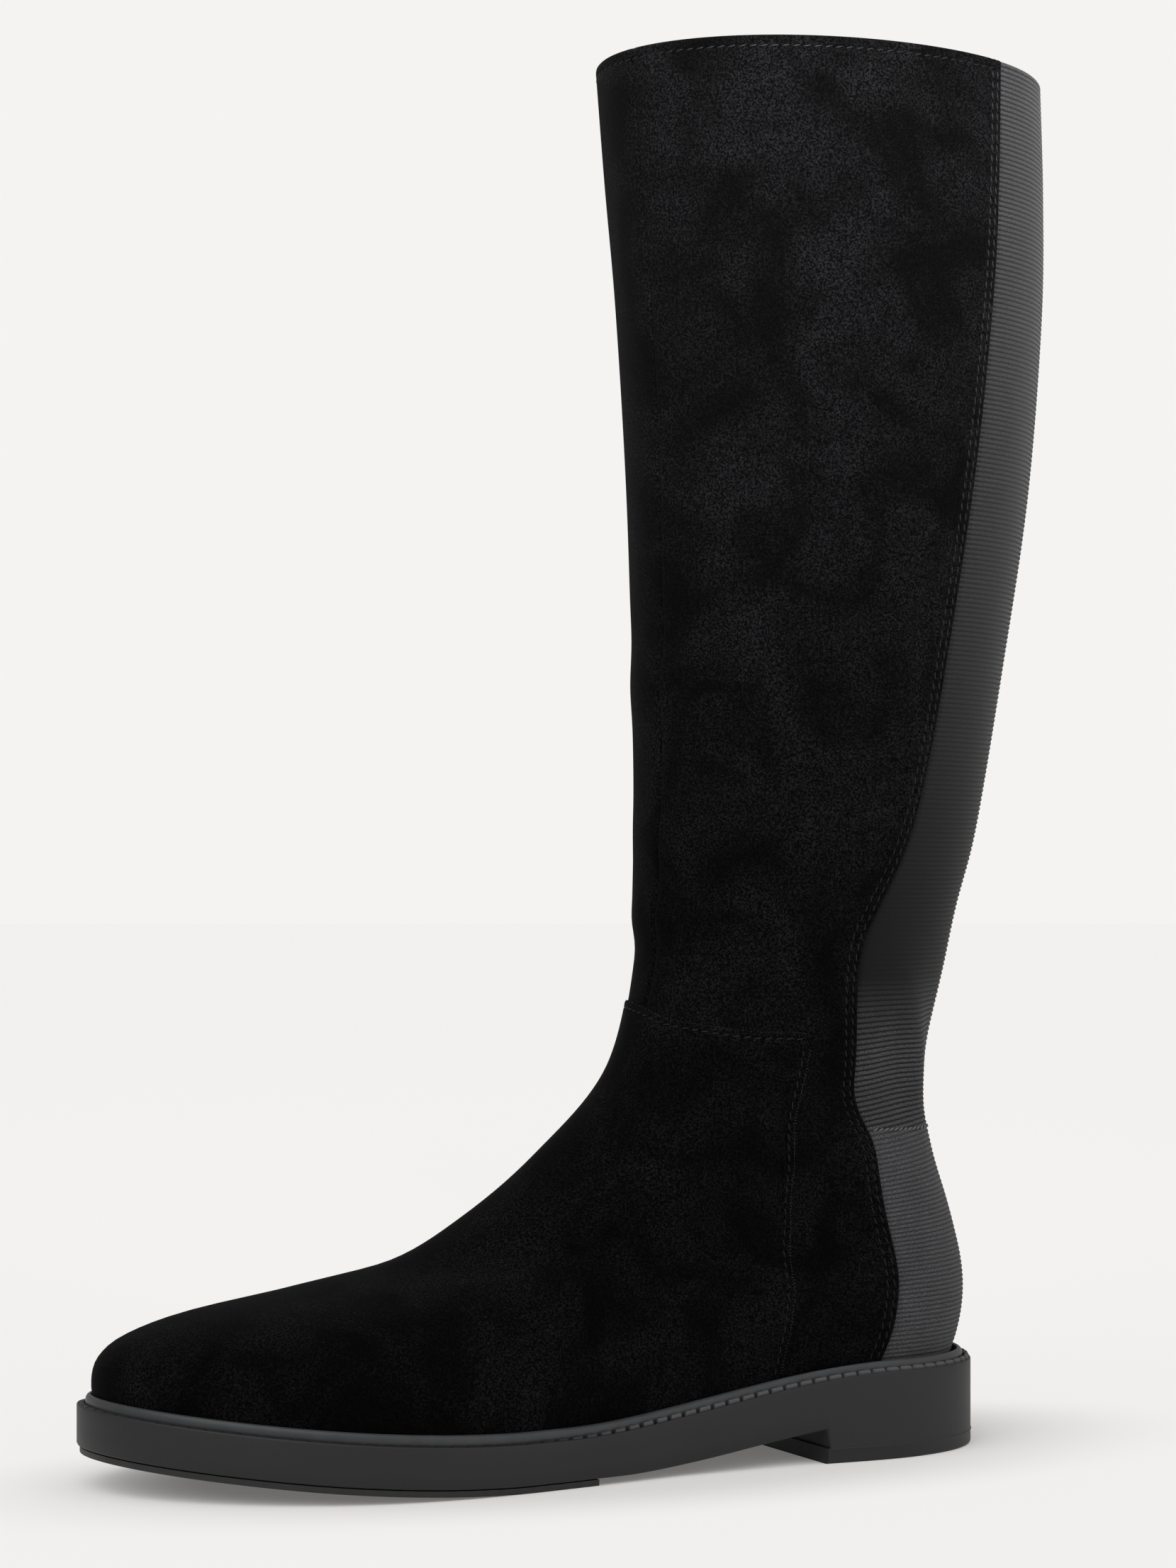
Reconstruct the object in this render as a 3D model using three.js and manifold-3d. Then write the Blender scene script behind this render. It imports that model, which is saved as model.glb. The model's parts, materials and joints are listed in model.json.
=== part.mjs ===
// Knee-high suede boot for the left foot: a pull-on shaft with a ribbed elastic gore up the
// back, a coil zip inside the leg and a moulded rubber unit sole with a low block heel.
// Millimetres, +Z up, toe towards -X, outer (lateral) side towards -Y, standing on Z = 0.
import * as THREE from "three";
import { mergeVertices } from "three/addons/utils/BufferGeometryUtils.js";
import Module from "manifold-3d";

// Sole and foot
const SOLE_LENGTH = 272;
const BALL_WIDTH = 100;
const HEEL_HEIGHT = 25.5;
const FOREPART_HEIGHT = 13.6;
const TOE_SPRING = 9.5;
const BREAST_HEIGHT = 10.9;
const HEEL_LENGTH = 64;
const TOP_PIECE = 4.4;
const TREAD = 2;
const LEDGE = 2.6;
const BEAD_WIDTH = 2;
const BEAD_HEIGHT = 3;
const INSOLE = 3;
const SOLE_EDGE = 1;
const BREAST_SLOPE = 1;
const TOP_PIECE_PROUD = 0.6;

// Places along the sole, as shares of its length from the heel end: where the ledge leaves
// the heel and comes level, where the arch ends, where the toe starts to rise and how
// steeply, where the tread starts, and where the vamp comes to lie over the foot. The arch
// starts at a share of the heel's length.
const LEDGE_FALL_FROM = 0.147;
const LEDGE_FALL_TO = 0.55;
const ARCH_FROM = 0.7;
const ARCH_TO = 0.49;
const SPRING_START = 0.6;
const SPRING_POWER = 1.5;
const TREAD_FROM = 0.515;
const VAMP_LAP_FROM = 0.16;
const VAMP_LAP_TO = 0.24;

// Ankle and shaft
const ANKLE_RISE = 118.5;
const ANKLE_WIDTH = 75;
const SHAFT_RISE = 264;
const CALF_DEPTH = 138;
const CALF_WIDTH = 102;
const SHAFT_SPREAD = { heel: 0.88, fore: 0.62 };

// Walls of the upper, and the clearance between curved neighbours
const WALL = 2.2;
const VAMP_OVERLAY = 0.9;
const GORE_WALL = 1.4;
const GORE_RECESS = 0.7;
const GAP = 0.3;

// Zip
const ZIP_SLOT = 11;
const CHAIN_WIDTH = 5.8;
const CHAIN_THICKNESS = 1.8;
const TAPE_THICKNESS = 0.7;
const SLIDER_WIDTH = 9.6;
const SLIDER_LENGTH = 12;
const TAPE_DEPTH = 0.1;
const SLIDER_THICKNESS = 2.7;
const SLIDER_DROP = 2;
const BRIDGE_HOLE = 2.6;
const BRIDGE_WALL = 1;
const BRIDGE_WIDTH = 2.4;
const PULL_LENGTH = 32;
const PULL_WIDTH = 6;
const PULL_THICKNESS = 1.4;
const PULL_RUNG = 1.2;
const LOOP_LENGTH = 11;
const LOOP_WIDTH = 7.5;
const LOOP_OPENING = 4.1;

// Plan of the foot, heel end to toe end. along: share of the length. centre: how far the
// middle swings to the inner side, and fullness: half-width of the ellipse that would have
// the same width there, both as shares of the ball width.
const PLAN = [
  { along: 0.00, centre: 0.000, fullness: 0.690 },
  { along: 0.12, centre: 0.000, fullness: 0.554 },
  { along: 0.25, centre: -0.018, fullness: 0.410 },
  { along: 0.40, centre: -0.040, fullness: 0.357 },
  { along: 0.50, centre: -0.043, fullness: 0.385 },
  { along: 0.60, centre: -0.025, fullness: 0.454 },
  { along: 0.70, centre: 0.005, fullness: 0.538 },
  { along: 0.80, centre: 0.040, fullness: 0.606 },
  { along: 0.90, centre: 0.082, fullness: 0.652 },
  { along: 1.00, centre: 0.110, fullness: 0.680 },
];

// Shares of the foot's length between which the width goes over from the heel's to the
// forepart's, and how many sections it takes the upper to leave the line of the sole
const WIDTH_CHANGE = [0.1, 0.9];
const SECTIONS_FOLLOWING_SOLE = 6;

// Sections of the foot, from the feather line to the ankle. Each is a loop on a plane that
// tilts from its back point to its front point. back, front: distance from the heel end,
// shares of the sole's length. backUp, frontUp: share of the rise to the ankle. heel, fore:
// share of the plan's width at the two ends. half: half-width of a plain ellipse as a share
// of the ankle's width, and round: how far the section has turned into that ellipse.
const FOOT_SECTIONS = [
  { back: 0.0213, backUp: 0, front: 0.979, frontUp: 0, heel: 1, fore: 1, half: 0.5, round: 0 },
  { back: 0.0118, backUp: 0.063, front: 0.982, frontUp: 0.049, heel: 1.03, fore: 1.02, half: 0.5, round: 0 },
  { back: 0.0059, backUp: 0.127, front: 0.975, frontUp: 0.101, heel: 1.04, fore: 1.01, half: 0.5, round: 0 },
  { back: 0.0044, backUp: 0.19, front: 0.949, frontUp: 0.146, heel: 1.03, fore: 0.95, half: 0.5, round: 0 },
  { back: 0.0081, backUp: 0.257, front: 0.89, frontUp: 0.188, heel: 1.01, fore: 0.84, half: 0.49, round: 0 },
  { back: 0.0162, backUp: 0.329, front: 0.783, frontUp: 0.226, heel: 0.98, fore: 0.74, half: 0.48, round: 0.05 },
  { back: 0.0276, backUp: 0.418, front: 0.669, frontUp: 0.275, heel: 0.94, fore: 0.67, half: 0.46, round: 0.15 },
  { back: 0.0441, backUp: 0.544, front: 0.586, frontUp: 0.377, heel: 0.9, fore: 0.63, half: 0.45, round: 0.4 },
  { back: 0.0515, backUp: 0.654, front: 0.503, frontUp: 0.527, heel: 0.88, fore: 0.62, half: 0.45, round: 0.75 },
  { back: 0.0449, backUp: 0.797, front: 0.42, frontUp: 0.735, heel: 0.88, fore: 0.62, half: 0.47, round: 0.95 },
  { back: 0.0257, backUp: 1, front: 0.388, frontUp: 1, heel: 0.88, fore: 0.62, half: 0.5, round: 1 },
];

// Sections of the shaft, from the ankle to the collar. up: share of the shaft's rise.
// middle: the section's centre forward of the heel end, a share of the sole's length.
// depth, half: shares of the calf's depth and width.
const SHAFT_SECTIONS = [
  { up: 0.061, middle: 0.2035, depth: 0.759, half: 0.375 },
  { up: 0.152, middle: 0.1868, depth: 0.794, half: 0.390 },
  { up: 0.330, middle: 0.1715, depth: 0.857, half: 0.430 },
  { up: 0.530, middle: 0.1585, depth: 0.926, half: 0.475 },
  { up: 0.731, middle: 0.1561, depth: 0.983, half: 0.500 },
  { up: 0.871, middle: 0.1618, depth: 1.014, half: 0.505 },
  { up: 1.000, middle: 0.1691, depth: 1.029, half: 0.505 },
];

// Edges of the elastic gore as angles from the centre back, lateral and medial, in degrees,
// and the middle of the zip as an angle from the centre back, row by row of the sections.
const GORE_AND_ZIP = [
  { section: 0, lateral: 46, medial: 49, zip: 64 },
  { section: 2, lateral: 45, medial: 47, zip: 60 },
  { section: 4, lateral: 46, medial: 46, zip: 58 },
  { section: 6, lateral: 52, medial: 47, zip: 62 },
  { section: 7.5, lateral: 57, medial: 48, zip: 65 },
  { section: 8.7, lateral: 75, medial: 51, zip: 68 },
  { section: 10, lateral: 87, medial: 54, zip: 70 },
  { section: 11.3, lateral: 79, medial: 55, zip: 70 },
  { section: 12.5, lateral: 72, medial: 57, zip: 74 },
  { section: 14, lateral: 69, medial: 55, zip: 77 },
  { section: 15.5, lateral: 64, medial: 48, zip: 70 },
  { section: 17, lateral: 60, medial: 42, zip: 65 },
];
const ZIP_END_SECTION = 1.0;

// Vamp seam seen from the side, from the throat back to its corner and down to the sole.
// along: share of the sole's length from the heel end. up: share of the ankle's height.
const VAMP_TOP = [
  { along: 1.100, up: 0.920 },
  { along: 0.397, up: 0.917 },
  { along: 0.388, up: 0.894 },
  { along: 0.360, up: 0.880 },
  { along: 0.310, up: 0.866 },
  { along: 0.257, up: 0.863 },
];
const VAMP_SIDE = [
  { along: 0.253, up: 0.856 },
  { along: 0.257, up: 0.820 },
  { along: 0.265, up: 0.714 },
  { along: 0.268, up: 0.480 },
  { along: 0.274, up: 0.290 },
  { along: 0.285, up: -0.100 },
];

const wasm = await Module();
wasm.setup();

// Value of a column of a table at a place between its rows, on a smooth curve
function smooth(table, key, column, at) {
  const last = table.length - 1;
  let i = 0;
  while (i < last - 1 && at > table[i + 1][key]) i++;
  const slope = (k) => {
    const a = Math.max(k - 1, 0);
    const b = Math.min(k + 1, last);
    return (table[b][column] - table[a][column]) / (table[b][key] - table[a][key]);
  };
  const span = table[i + 1][key] - table[i][key];
  const t = THREE.MathUtils.clamp((at - table[i][key]) / span, 0, 1);
  const a = table[i][column];
  const b = table[i + 1][column];
  const t2 = t * t;
  const t3 = t2 * t;
  return (2 * t3 - 3 * t2 + 1) * a + (t3 - 2 * t2 + t) * span * slope(i)
    + (3 * t2 - 2 * t3) * b + (t3 - t2) * span * slope(i + 1);
}

const lerp = THREE.MathUtils.lerp;
const ease = (x, a, b) => THREE.MathUtils.smoothstep(x, a, b);

// Heights along the sole, at a distance forward of the heel end
function toeSpring(d) {
  const start = SPRING_START * SOLE_LENGTH;
  const t = Math.max(0, (d - start) / (SOLE_LENGTH - start));
  return TOE_SPRING * t ** SPRING_POWER;
}

function ledgeHeight(d) {
  const drop = ease(d, LEDGE_FALL_FROM * SOLE_LENGTH, LEDGE_FALL_TO * SOLE_LENGTH);
  return lerp(HEEL_HEIGHT, FOREPART_HEIGHT, drop) + toeSpring(d);
}

function underside(d) {
  if (d <= HEEL_LENGTH) return TOP_PIECE;
  const drop = ease(d, ARCH_FROM * HEEL_LENGTH, ARCH_TO * SOLE_LENGTH);
  return lerp(BREAST_HEIGHT, TREAD, drop) + toeSpring(d);
}

// Half-width and middle of the plan at a share of its length
function planHalf(s, inset) {
  return 2 * Math.sqrt(s * (1 - s)) * (smooth(PLAN, "along", "fullness", s) * BALL_WIDTH - inset);
}

function planMiddle(s) {
  return smooth(PLAN, "along", "centre", s) * BALL_WIDTH;
}

// Point of the sole's outline at a turn from the heel end, moved inwards by an inset.
// Turns run from the heel end over the lateral side and the toe back along the medial side.
function solePoint(turn, inset) {
  const s = 0.5 - 0.5 * Math.cos(turn);
  const side = Math.sin(turn) > 0 ? -1 : 1;
  const length = SOLE_LENGTH - 2 * inset;
  return new THREE.Vector3(-(inset + s * length), planMiddle(s) + side * planHalf(s, inset), 0);
}

// Every section of the upper as back and front points, widths and roundness
const ANKLE_TOP = HEEL_HEIGHT + ANKLE_RISE;
const TOE_LEDGE = ledgeHeight(SOLE_LENGTH);
const UPPER_SECTIONS = [
  ...FOOT_SECTIONS.map((row) => ({
    back: row.back * SOLE_LENGTH,
    backUp: HEEL_HEIGHT + GAP + row.backUp * (ANKLE_RISE - GAP),
    front: row.front * SOLE_LENGTH,
    frontUp: TOE_LEDGE + GAP + row.frontUp * (ANKLE_TOP - TOE_LEDGE - GAP),
    heel: row.heel,
    fore: row.fore,
    half: row.half * ANKLE_WIDTH,
    round: row.round,
  })),
  ...SHAFT_SECTIONS.map((row) => ({
    back: row.middle * SOLE_LENGTH - row.depth * CALF_DEPTH / 2,
    backUp: ANKLE_TOP + row.up * SHAFT_RISE,
    front: row.middle * SOLE_LENGTH + row.depth * CALF_DEPTH / 2,
    frontUp: ANKLE_TOP + row.up * SHAFT_RISE,
    ...SHAFT_SPREAD,
    half: row.half * CALF_WIDTH,
    round: 1,
  })),
].map((row, section) => ({ section, ...row }));
const TOP_SECTION = UPPER_SECTIONS.length - 1;
const FEATHER_INSET = LEDGE + BEAD_WIDTH + GAP + VAMP_OVERLAY;

// Point of the upper's outer face at a section (any number between two rows too) and a turn
function upperPoint(section, turn) {
  const at = (column) => smooth(UPPER_SECTIONS, "section", column, section);
  const s = 0.5 - 0.5 * Math.cos(turn);
  const side = Math.sin(turn) > 0 ? -1 : 1;
  const d = lerp(at("back"), at("front"), s);
  const round = at("round");
  const spread = lerp(at("heel"), at("fore"), ease(s, ...WIDTH_CHANGE));
  const foot = smooth(PLAN, "along", "fullness", s) * BALL_WIDTH * spread - FEATHER_INSET;
  const half = 2 * Math.sqrt(s * (1 - s)) * lerp(foot, at("half"), round);
  const middle = planMiddle(s) * (1 - round);
  const flat = lerp(at("backUp"), at("frontUp"), s);
  const low = ledgeHeight(d) + GAP;
  const chord = lerp(HEEL_HEIGHT, TOE_LEDGE, s) + GAP;
  const followSole = 1 - ease(section, 0, SECTIONS_FOLLOWING_SOLE);
  return new THREE.Vector3(-d, middle + side * half, flat + (low - chord) * followSole);
}

// Outward normal there. At the feather line and the collar it lies level.
function upperNormal(section, turn) {
  const step = 0.01;
  const up = upperPoint(Math.min(section + step, TOP_SECTION), turn)
    .sub(upperPoint(Math.max(section - step, 0), turn));
  const around = upperPoint(section, turn + step).sub(upperPoint(section, turn - step));
  const normal = up.cross(around);
  if (section === 0 || section === TOP_SECTION) normal.z = 0;
  return normal.normalize();
}

function upperOffset(section, turn, out) {
  return upperPoint(section, turn).addScaledVector(upperNormal(section, turn), out);
}

// Turn that lies a distance in millimetres further round the upper
function turnBy(section, turn, distance) {
  const step = 0.01;
  const rate = upperPoint(section, turn + step).distanceTo(upperPoint(section, turn - step)) / (2 * step);
  return turn + distance / rate;
}

// Edges of the gore and middle of the zip at a section, as turns
const radians = THREE.MathUtils.degToRad;
const goreLateral = (section) => radians(smooth(GORE_AND_ZIP, "section", "lateral", section));
const goreMedial = (section) => 2 * Math.PI - radians(smooth(GORE_AND_ZIP, "section", "medial", section));
const zipMiddle = (section) => 2 * Math.PI - radians(smooth(GORE_AND_ZIP, "section", "zip", section));

// Turn at a distance across the zip, measured square to the way that the zip runs
function zipTurn(section, across) {
  const step = 0.05;
  const middle = zipMiddle(section);
  const along = upperPoint(section + step, zipMiddle(section + step))
    .sub(upperPoint(section - step, zipMiddle(section - step))).normalize();
  const around = upperPoint(section, middle + 0.01).sub(upperPoint(section, middle - 0.01)).normalize();
  const lean = Math.sqrt(Math.max(1 - along.dot(around) ** 2, 0.2));
  return turnBy(section, middle, across / lean);
}

// A closed solid from triangles that share their points
function geometryOf(points, triangles) {
  const used = new Map();
  const position = [];
  const index = triangles.flat().map((i) => {
    if (!used.has(i)) {
      used.set(i, used.size);
      position.push(points[i].x, points[i].y, points[i].z);
    }
    return used.get(i);
  });
  const geometry = new THREE.BufferGeometry();
  geometry.setAttribute("position", new THREE.Float32BufferAttribute(position, 3));
  geometry.setIndex(index);
  return geometry;
}

// Wall between an outer and an inner grid of points, [row][column], rows going up and columns
// going round by the lateral side. Cells that are not present are openings with closed rims.
function wallSolid(outer, inner, present = () => true) {
  const rows = outer.length - 1;
  const columns = outer[0].length - 1;
  const has = (i, j) => i >= 0 && i < rows && j >= 0 && j < columns && present(i, j);
  const points = [...outer.flat(), ...inner.flat()];
  const out = (i, j) => i * (columns + 1) + j;
  const inn = (i, j) => out(i, j) + (rows + 1) * (columns + 1);
  const triangles = [];
  const quad = (a, b, c, d) => triangles.push([a, b, c], [a, c, d]);
  for (let i = 0; i < rows; i++) {
    for (let j = 0; j < columns; j++) {
      if (!has(i, j)) continue;
      quad(out(i, j), out(i + 1, j), out(i + 1, j + 1), out(i, j + 1));
      quad(inn(i, j), inn(i, j + 1), inn(i + 1, j + 1), inn(i + 1, j));
      if (!has(i - 1, j)) quad(out(i, j), out(i, j + 1), inn(i, j + 1), inn(i, j));
      if (!has(i + 1, j)) quad(out(i + 1, j + 1), out(i + 1, j), inn(i + 1, j), inn(i + 1, j + 1));
      if (!has(i, j - 1)) quad(out(i + 1, j), out(i, j), inn(i, j), inn(i + 1, j));
      if (!has(i, j + 1)) quad(out(i, j + 1), out(i + 1, j + 1), inn(i + 1, j + 1), inn(i, j + 1));
    }
  }
  return geometryOf(points, triangles);
}

// Solid from a stack of loops, bottom to top, each with 2n points from the heel end over the
// lateral side to the toe end and back, closed above and below by strips across the foot
function stackSolid(loops) {
  const size = loops[0].length;
  const half = size / 2;
  const points = loops.flat();
  const at = (level, j) => level * size + (j % size);
  const triangles = [];
  for (let level = 0; level < loops.length - 1; level++) {
    for (let j = 0; j < size; j++) {
      triangles.push([at(level, j), at(level + 1, j), at(level + 1, j + 1)]);
      triangles.push([at(level, j), at(level + 1, j + 1), at(level, j + 1)]);
    }
  }
  const cap = (level, flip) => {
    const push = (a, b, c) => triangles.push(flip ? [a, c, b] : [a, b, c]);
    for (let i = 0; i < half; i++) {
      const a = at(level, i);
      const b = at(level, i + 1);
      const c = at(level, size - i - 1);
      const d = at(level, size - i);
      if (i > 0) push(a, d, c);
      if (i < half - 1) push(a, c, b);
    }
  };
  cap(0, true);
  cap(loops.length - 1, false);
  return geometryOf(points, triangles);
}

// Ring whose cross-section is a list of loops in order round the section
function ringSolid(loops) {
  const size = loops[0].length;
  const points = loops.flat();
  const at = (k, j) => (k % loops.length) * size + (j % size);
  const triangles = [];
  for (let k = 0; k < loops.length; k++) {
    for (let j = 0; j < size; j++) {
      triangles.push([at(k, j), at(k + 1, j), at(k + 1, j + 1)]);
      triangles.push([at(k, j), at(k + 1, j + 1), at(k, j + 1)]);
    }
  }
  return geometryOf(points, triangles);
}

const range = (count, from, to) => Array.from({ length: count + 1 }, (_, i) => lerp(from, to, i / count));

// Turns of a whole loop: even steps, with extra ones at given distances from the heel end
function loopTurns(steps, distances = []) {
  const extra = distances.map((d) => Math.acos(1 - 2 * d / SOLE_LENGTH));
  const half = [...range(steps, 0, Math.PI), ...extra].sort((a, b) => a - b)
    .filter((turn, i, all) => i === 0 || turn - all[i - 1] > 1e-4);
  return [...half, ...half.slice(1, -1).reverse().map((turn) => 2 * Math.PI - turn)];
}

// Booleans
function manifoldOf(geometry) {
  const plain = geometry.clone();
  plain.deleteAttribute("normal");
  plain.deleteAttribute("uv");
  const merged = mergeVertices(plain, 1e-4);
  const vertProperties = new Float32Array(merged.attributes.position.array);
  const triVerts = new Uint32Array(merged.index.array);
  return new wasm.Manifold(new wasm.Mesh({ numProp: 3, vertProperties, triVerts }));
}

function geometryFrom(solid) {
  const mesh = solid.getMesh();
  const geometry = new THREE.BufferGeometry();
  geometry.setAttribute("position", new THREE.BufferAttribute(new Float32Array(mesh.vertProperties), 3));
  geometry.setIndex(new THREE.BufferAttribute(new Uint32Array(mesh.triVerts), 1));
  return geometry;
}

const boot = new THREE.Group();

function add(name, geometry, color, roughness, metalness = 0) {
  const mesh = new THREE.Mesh(geometry, new THREE.MeshStandardMaterial({ color, roughness, metalness }));
  mesh.name = name;
  boot.add(mesh);
  return mesh;
}

// Block as deep as the ball is wide, with an outline seen from the side, from a place in Y
function sideBlock(outline, from) {
  const shape = new THREE.Shape(outline.map((row) => (
    new THREE.Vector2(-row.along * SOLE_LENGTH, row.up * ANKLE_TOP))));
  const geometry = new THREE.ExtrudeGeometry(shape, { depth: BALL_WIDTH, bevelEnabled: false });
  geometry.rotateX(Math.PI / 2);
  geometry.translate(0, from + BALL_WIDTH, 0);
  return manifoldOf(geometry);
}

// Rows of the upper: two to a section
const ROWS = [
  ...range(2 * (FOOT_SECTIONS.length - 1), 0, FOOT_SECTIONS.length - 1),
  ...range(2 * SHAFT_SECTIONS.length, FOOT_SECTIONS.length - 1, TOP_SECTION).slice(1),
];
const ZIP_END_ROW = ROWS.findIndex((section) => section >= ZIP_END_SECTION);

// Upper: vamp and quarters run into the shaft as one wall, with a slot for the gore down the
// centre back and one for the zip inside the leg
function makeUpper() {
  const toZip = 32;
  const toGore = 6;
  const turnsAt = (section) => [
    ...range(toZip, goreLateral(section), zipTurn(section, -ZIP_SLOT / 2)),
    zipMiddle(section),
    ...range(toGore, zipTurn(section, ZIP_SLOT / 2), goreMedial(section)),
  ];
  const grid = (out) => ROWS.map((section) => (
    turnsAt(section).map((turn) => upperOffset(section, turn, out))));
  const present = (i, j) => i < ZIP_END_ROW || j < toZip || j > toZip + 1;
  const wall = manifoldOf(wallSolid(grid(0), grid(-WALL), present));

  // Vamp: a second layer over the forefoot up to its seam, behind which it stops
  const vampColumns = 36;
  const vampRows = ROWS.filter((section) => section <= FOOT_SECTIONS.length);
  const vampGrid = (out) => vampRows.map((section) => (
    range(vampColumns, turnBy(section, goreLateral(section), GAP), zipTurn(section, -ZIP_SLOT / 2 - GAP))
      .map((turn) => upperOffset(section, turn, out))));
  const layer = manifoldOf(wallSolid(vampGrid(VAMP_OVERLAY), vampGrid(-WALL / 2)));
  const low = -0.1;
  const toe = VAMP_TOP[0].along;
  const backOfZip = { along: 0, up: VAMP_TOP.at(-1).up };
  const lateral = sideBlock([...VAMP_TOP, ...VAMP_SIDE, { along: toe, up: low }], -BALL_WIDTH);
  const medial = sideBlock([...VAMP_TOP, backOfZip, { along: 0, up: low }, { along: toe, up: low }], 0);
  return geometryFrom(wall.add(layer.intersect(lateral.add(medial))));
}
add("upper", makeUpper(), 0x151515, 0.95);

// Elastic gore: a ribbed strip set a little below the face of the suede
function makeGore() {
  const columns = 9;
  const turnsAt = (section) => range(columns,
    turnBy(section, goreMedial(section), GAP) - 2 * Math.PI, turnBy(section, goreLateral(section), -GAP));
  const grid = (out) => ROWS.map((section) => (
    turnsAt(section).map((turn) => upperOffset(section, turn, out))));
  return wallSolid(grid(-GORE_RECESS), grid(-GORE_RECESS - GORE_WALL));
}
add("elastic_gore", makeGore(), 0x3d3d3f, 0.9);

// Section that lies a distance in millimetres further up the zip
function sectionBy(section, distance) {
  const step = 0.02;
  const a = Math.min(section + step, TOP_SECTION);
  const b = a - 2 * step;
  const rate = upperPoint(a, zipMiddle(a)).distanceTo(upperPoint(b, zipMiddle(b))) / (2 * step);
  return section + distance / rate;
}

// Zip: a strip at the zip's place, as wide as asked, between two depths on the given rows
function zipStrip(width, outside, inside, rows) {
  const grid = (out) => rows.map((section) => (
    range(2, zipTurn(section, -width / 2), zipTurn(section, width / 2))
      .map((turn) => upperOffset(section, turn, out))));
  return wallSolid(grid(outside), grid(inside));
}
const TAPE_FACE = -WALL + TAPE_DEPTH + TAPE_THICKNESS;
const CHAIN_BACK = TAPE_FACE + GAP;
const ZIP_ROWS = [sectionBy(ROWS[ZIP_END_ROW], GAP), ...ROWS.slice(ZIP_END_ROW + 1)];
const SLIDER_SECTION = sectionBy(TOP_SECTION, -SLIDER_DROP - SLIDER_LENGTH / 2);
const CHAIN_TOP = sectionBy(SLIDER_SECTION, -SLIDER_LENGTH / 2 - 2 * GAP);
const CHAIN_ROWS = [...ZIP_ROWS.filter((section) => section < CHAIN_TOP - 0.1), CHAIN_TOP];
const TAPE = zipStrip(ZIP_SLOT - 2 * GAP, TAPE_FACE, TAPE_FACE - TAPE_THICKNESS, ZIP_ROWS);
const CHAIN = zipStrip(CHAIN_WIDTH, CHAIN_BACK + CHAIN_THICKNESS, CHAIN_BACK, CHAIN_ROWS);
add("zip_tape", TAPE, 0x101010, 0.85);
add("zip_chain", CHAIN, 0x1a1a1a, 0.35);

// Frame at the slider: X across the zip, Y up along it, Z out of the leg
function sliderFrame() {
  const middle = zipMiddle(SLIDER_SECTION);
  const out = upperNormal(SLIDER_SECTION, middle);
  const up = upperPoint(SLIDER_SECTION + 0.1, zipMiddle(SLIDER_SECTION + 0.1))
    .sub(upperPoint(SLIDER_SECTION - 0.1, zipMiddle(SLIDER_SECTION - 0.1)));
  up.addScaledVector(out, -up.dot(out)).normalize();
  const across = up.clone().cross(out);
  return new THREE.Matrix4().makeBasis(across, up, out)
    .setPosition(upperPoint(SLIDER_SECTION, middle));
}

function place(mesh, frame) {
  frame.decompose(mesh.position, mesh.quaternion, mesh.scale);
}

function extrude(points, depth, holes = []) {
  const shape = new THREE.Shape(points.map(([x, y]) => new THREE.Vector2(x, y)));
  holes.forEach((hole) => shape.holes.push(new THREE.Path(hole.map(([x, y]) => new THREE.Vector2(x, y)))));
  return new THREE.ExtrudeGeometry(shape, { depth, bevelEnabled: false });
}

// Outline of a plate on the Y axis from its corners on the right, top to bottom
const bothSides = (right) => [...right, ...right.slice().reverse().map(([x, y]) => [-x, y])];

// Slider: a tapered shield over the coils with a bridge for the pull
function makeSlider() {
  const w = SLIDER_WIDTH / 2;
  const l = SLIDER_LENGTH / 2;
  const shield = extrude(bothSides([
    [0.55 * w, l], [w, 0.75 * l], [w, 0.2 * l], [0.72 * w, -0.6 * l], [0.72 * w, -0.9 * l], [0.6 * w, -l],
  ]), SLIDER_THICKNESS);
  shield.translate(0, 0, CHAIN_BACK);
  const foot = BRIDGE_HOLE / 2;
  const leg = foot + BRIDGE_WALL;
  const rise = BRIDGE_HOLE;
  const sink = 0.4;
  const bridge = extrude([
    [-leg, -sink], [-foot, -sink], [-foot, rise], [foot, rise], [foot, -sink], [leg, -sink],
    [leg, rise + 0.3 * BRIDGE_WALL], [0.5 * leg, rise + BRIDGE_WALL],
    [-0.5 * leg, rise + BRIDGE_WALL], [-leg, rise + 0.3 * BRIDGE_WALL],
  ], BRIDGE_WIDTH);
  bridge.translate(0, 0, -BRIDGE_WIDTH / 2);
  bridge.applyMatrix4(new THREE.Matrix4().makeBasis(
    new THREE.Vector3(0, 1, 0), new THREE.Vector3(0, 0, 1), new THREE.Vector3(1, 0, 0)));
  bridge.translate(0, 0, CHAIN_BACK + SLIDER_THICKNESS);
  return geometryFrom(manifoldOf(shield).add(manifoldOf(bridge)));
}
const SLIDER_FRAME = sliderFrame();
place(add("zip_slider", makeSlider(), 0x2a2a2d, 0.25, 1), SLIDER_FRAME);

// Pull: a loop through the bridge and a plain bar, hanging from the loop's top rung
function makePull() {
  const rung = PULL_RUNG / 2;
  const loopEnd = rung - LOOP_LENGTH;
  const end = rung - PULL_LENGTH;
  const wide = LOOP_WIDTH / 2;
  const narrow = PULL_WIDTH / 2;
  const corner = 0.8;
  const outline = bothSides([
    [wide - corner, rung], [wide, rung - corner], [wide, 0.6 * loopEnd], [0.95 * narrow, loopEnd],
    [narrow, loopEnd - corner], [narrow, end + corner], [narrow - corner, end],
  ]);
  const opening = LOOP_OPENING / 2;
  const hole = bothSides([
    [opening - 0.3, rung - PULL_RUNG], [opening, rung - PULL_RUNG - 0.5], [opening, 0.6 * loopEnd],
    [0.6 * opening, loopEnd + PULL_RUNG],
  ]).reverse();
  const geometry = extrude(outline, PULL_THICKNESS, [hole]);
  geometry.translate(0, 0, -PULL_THICKNESS / 2);
  return geometry;
}
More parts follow.
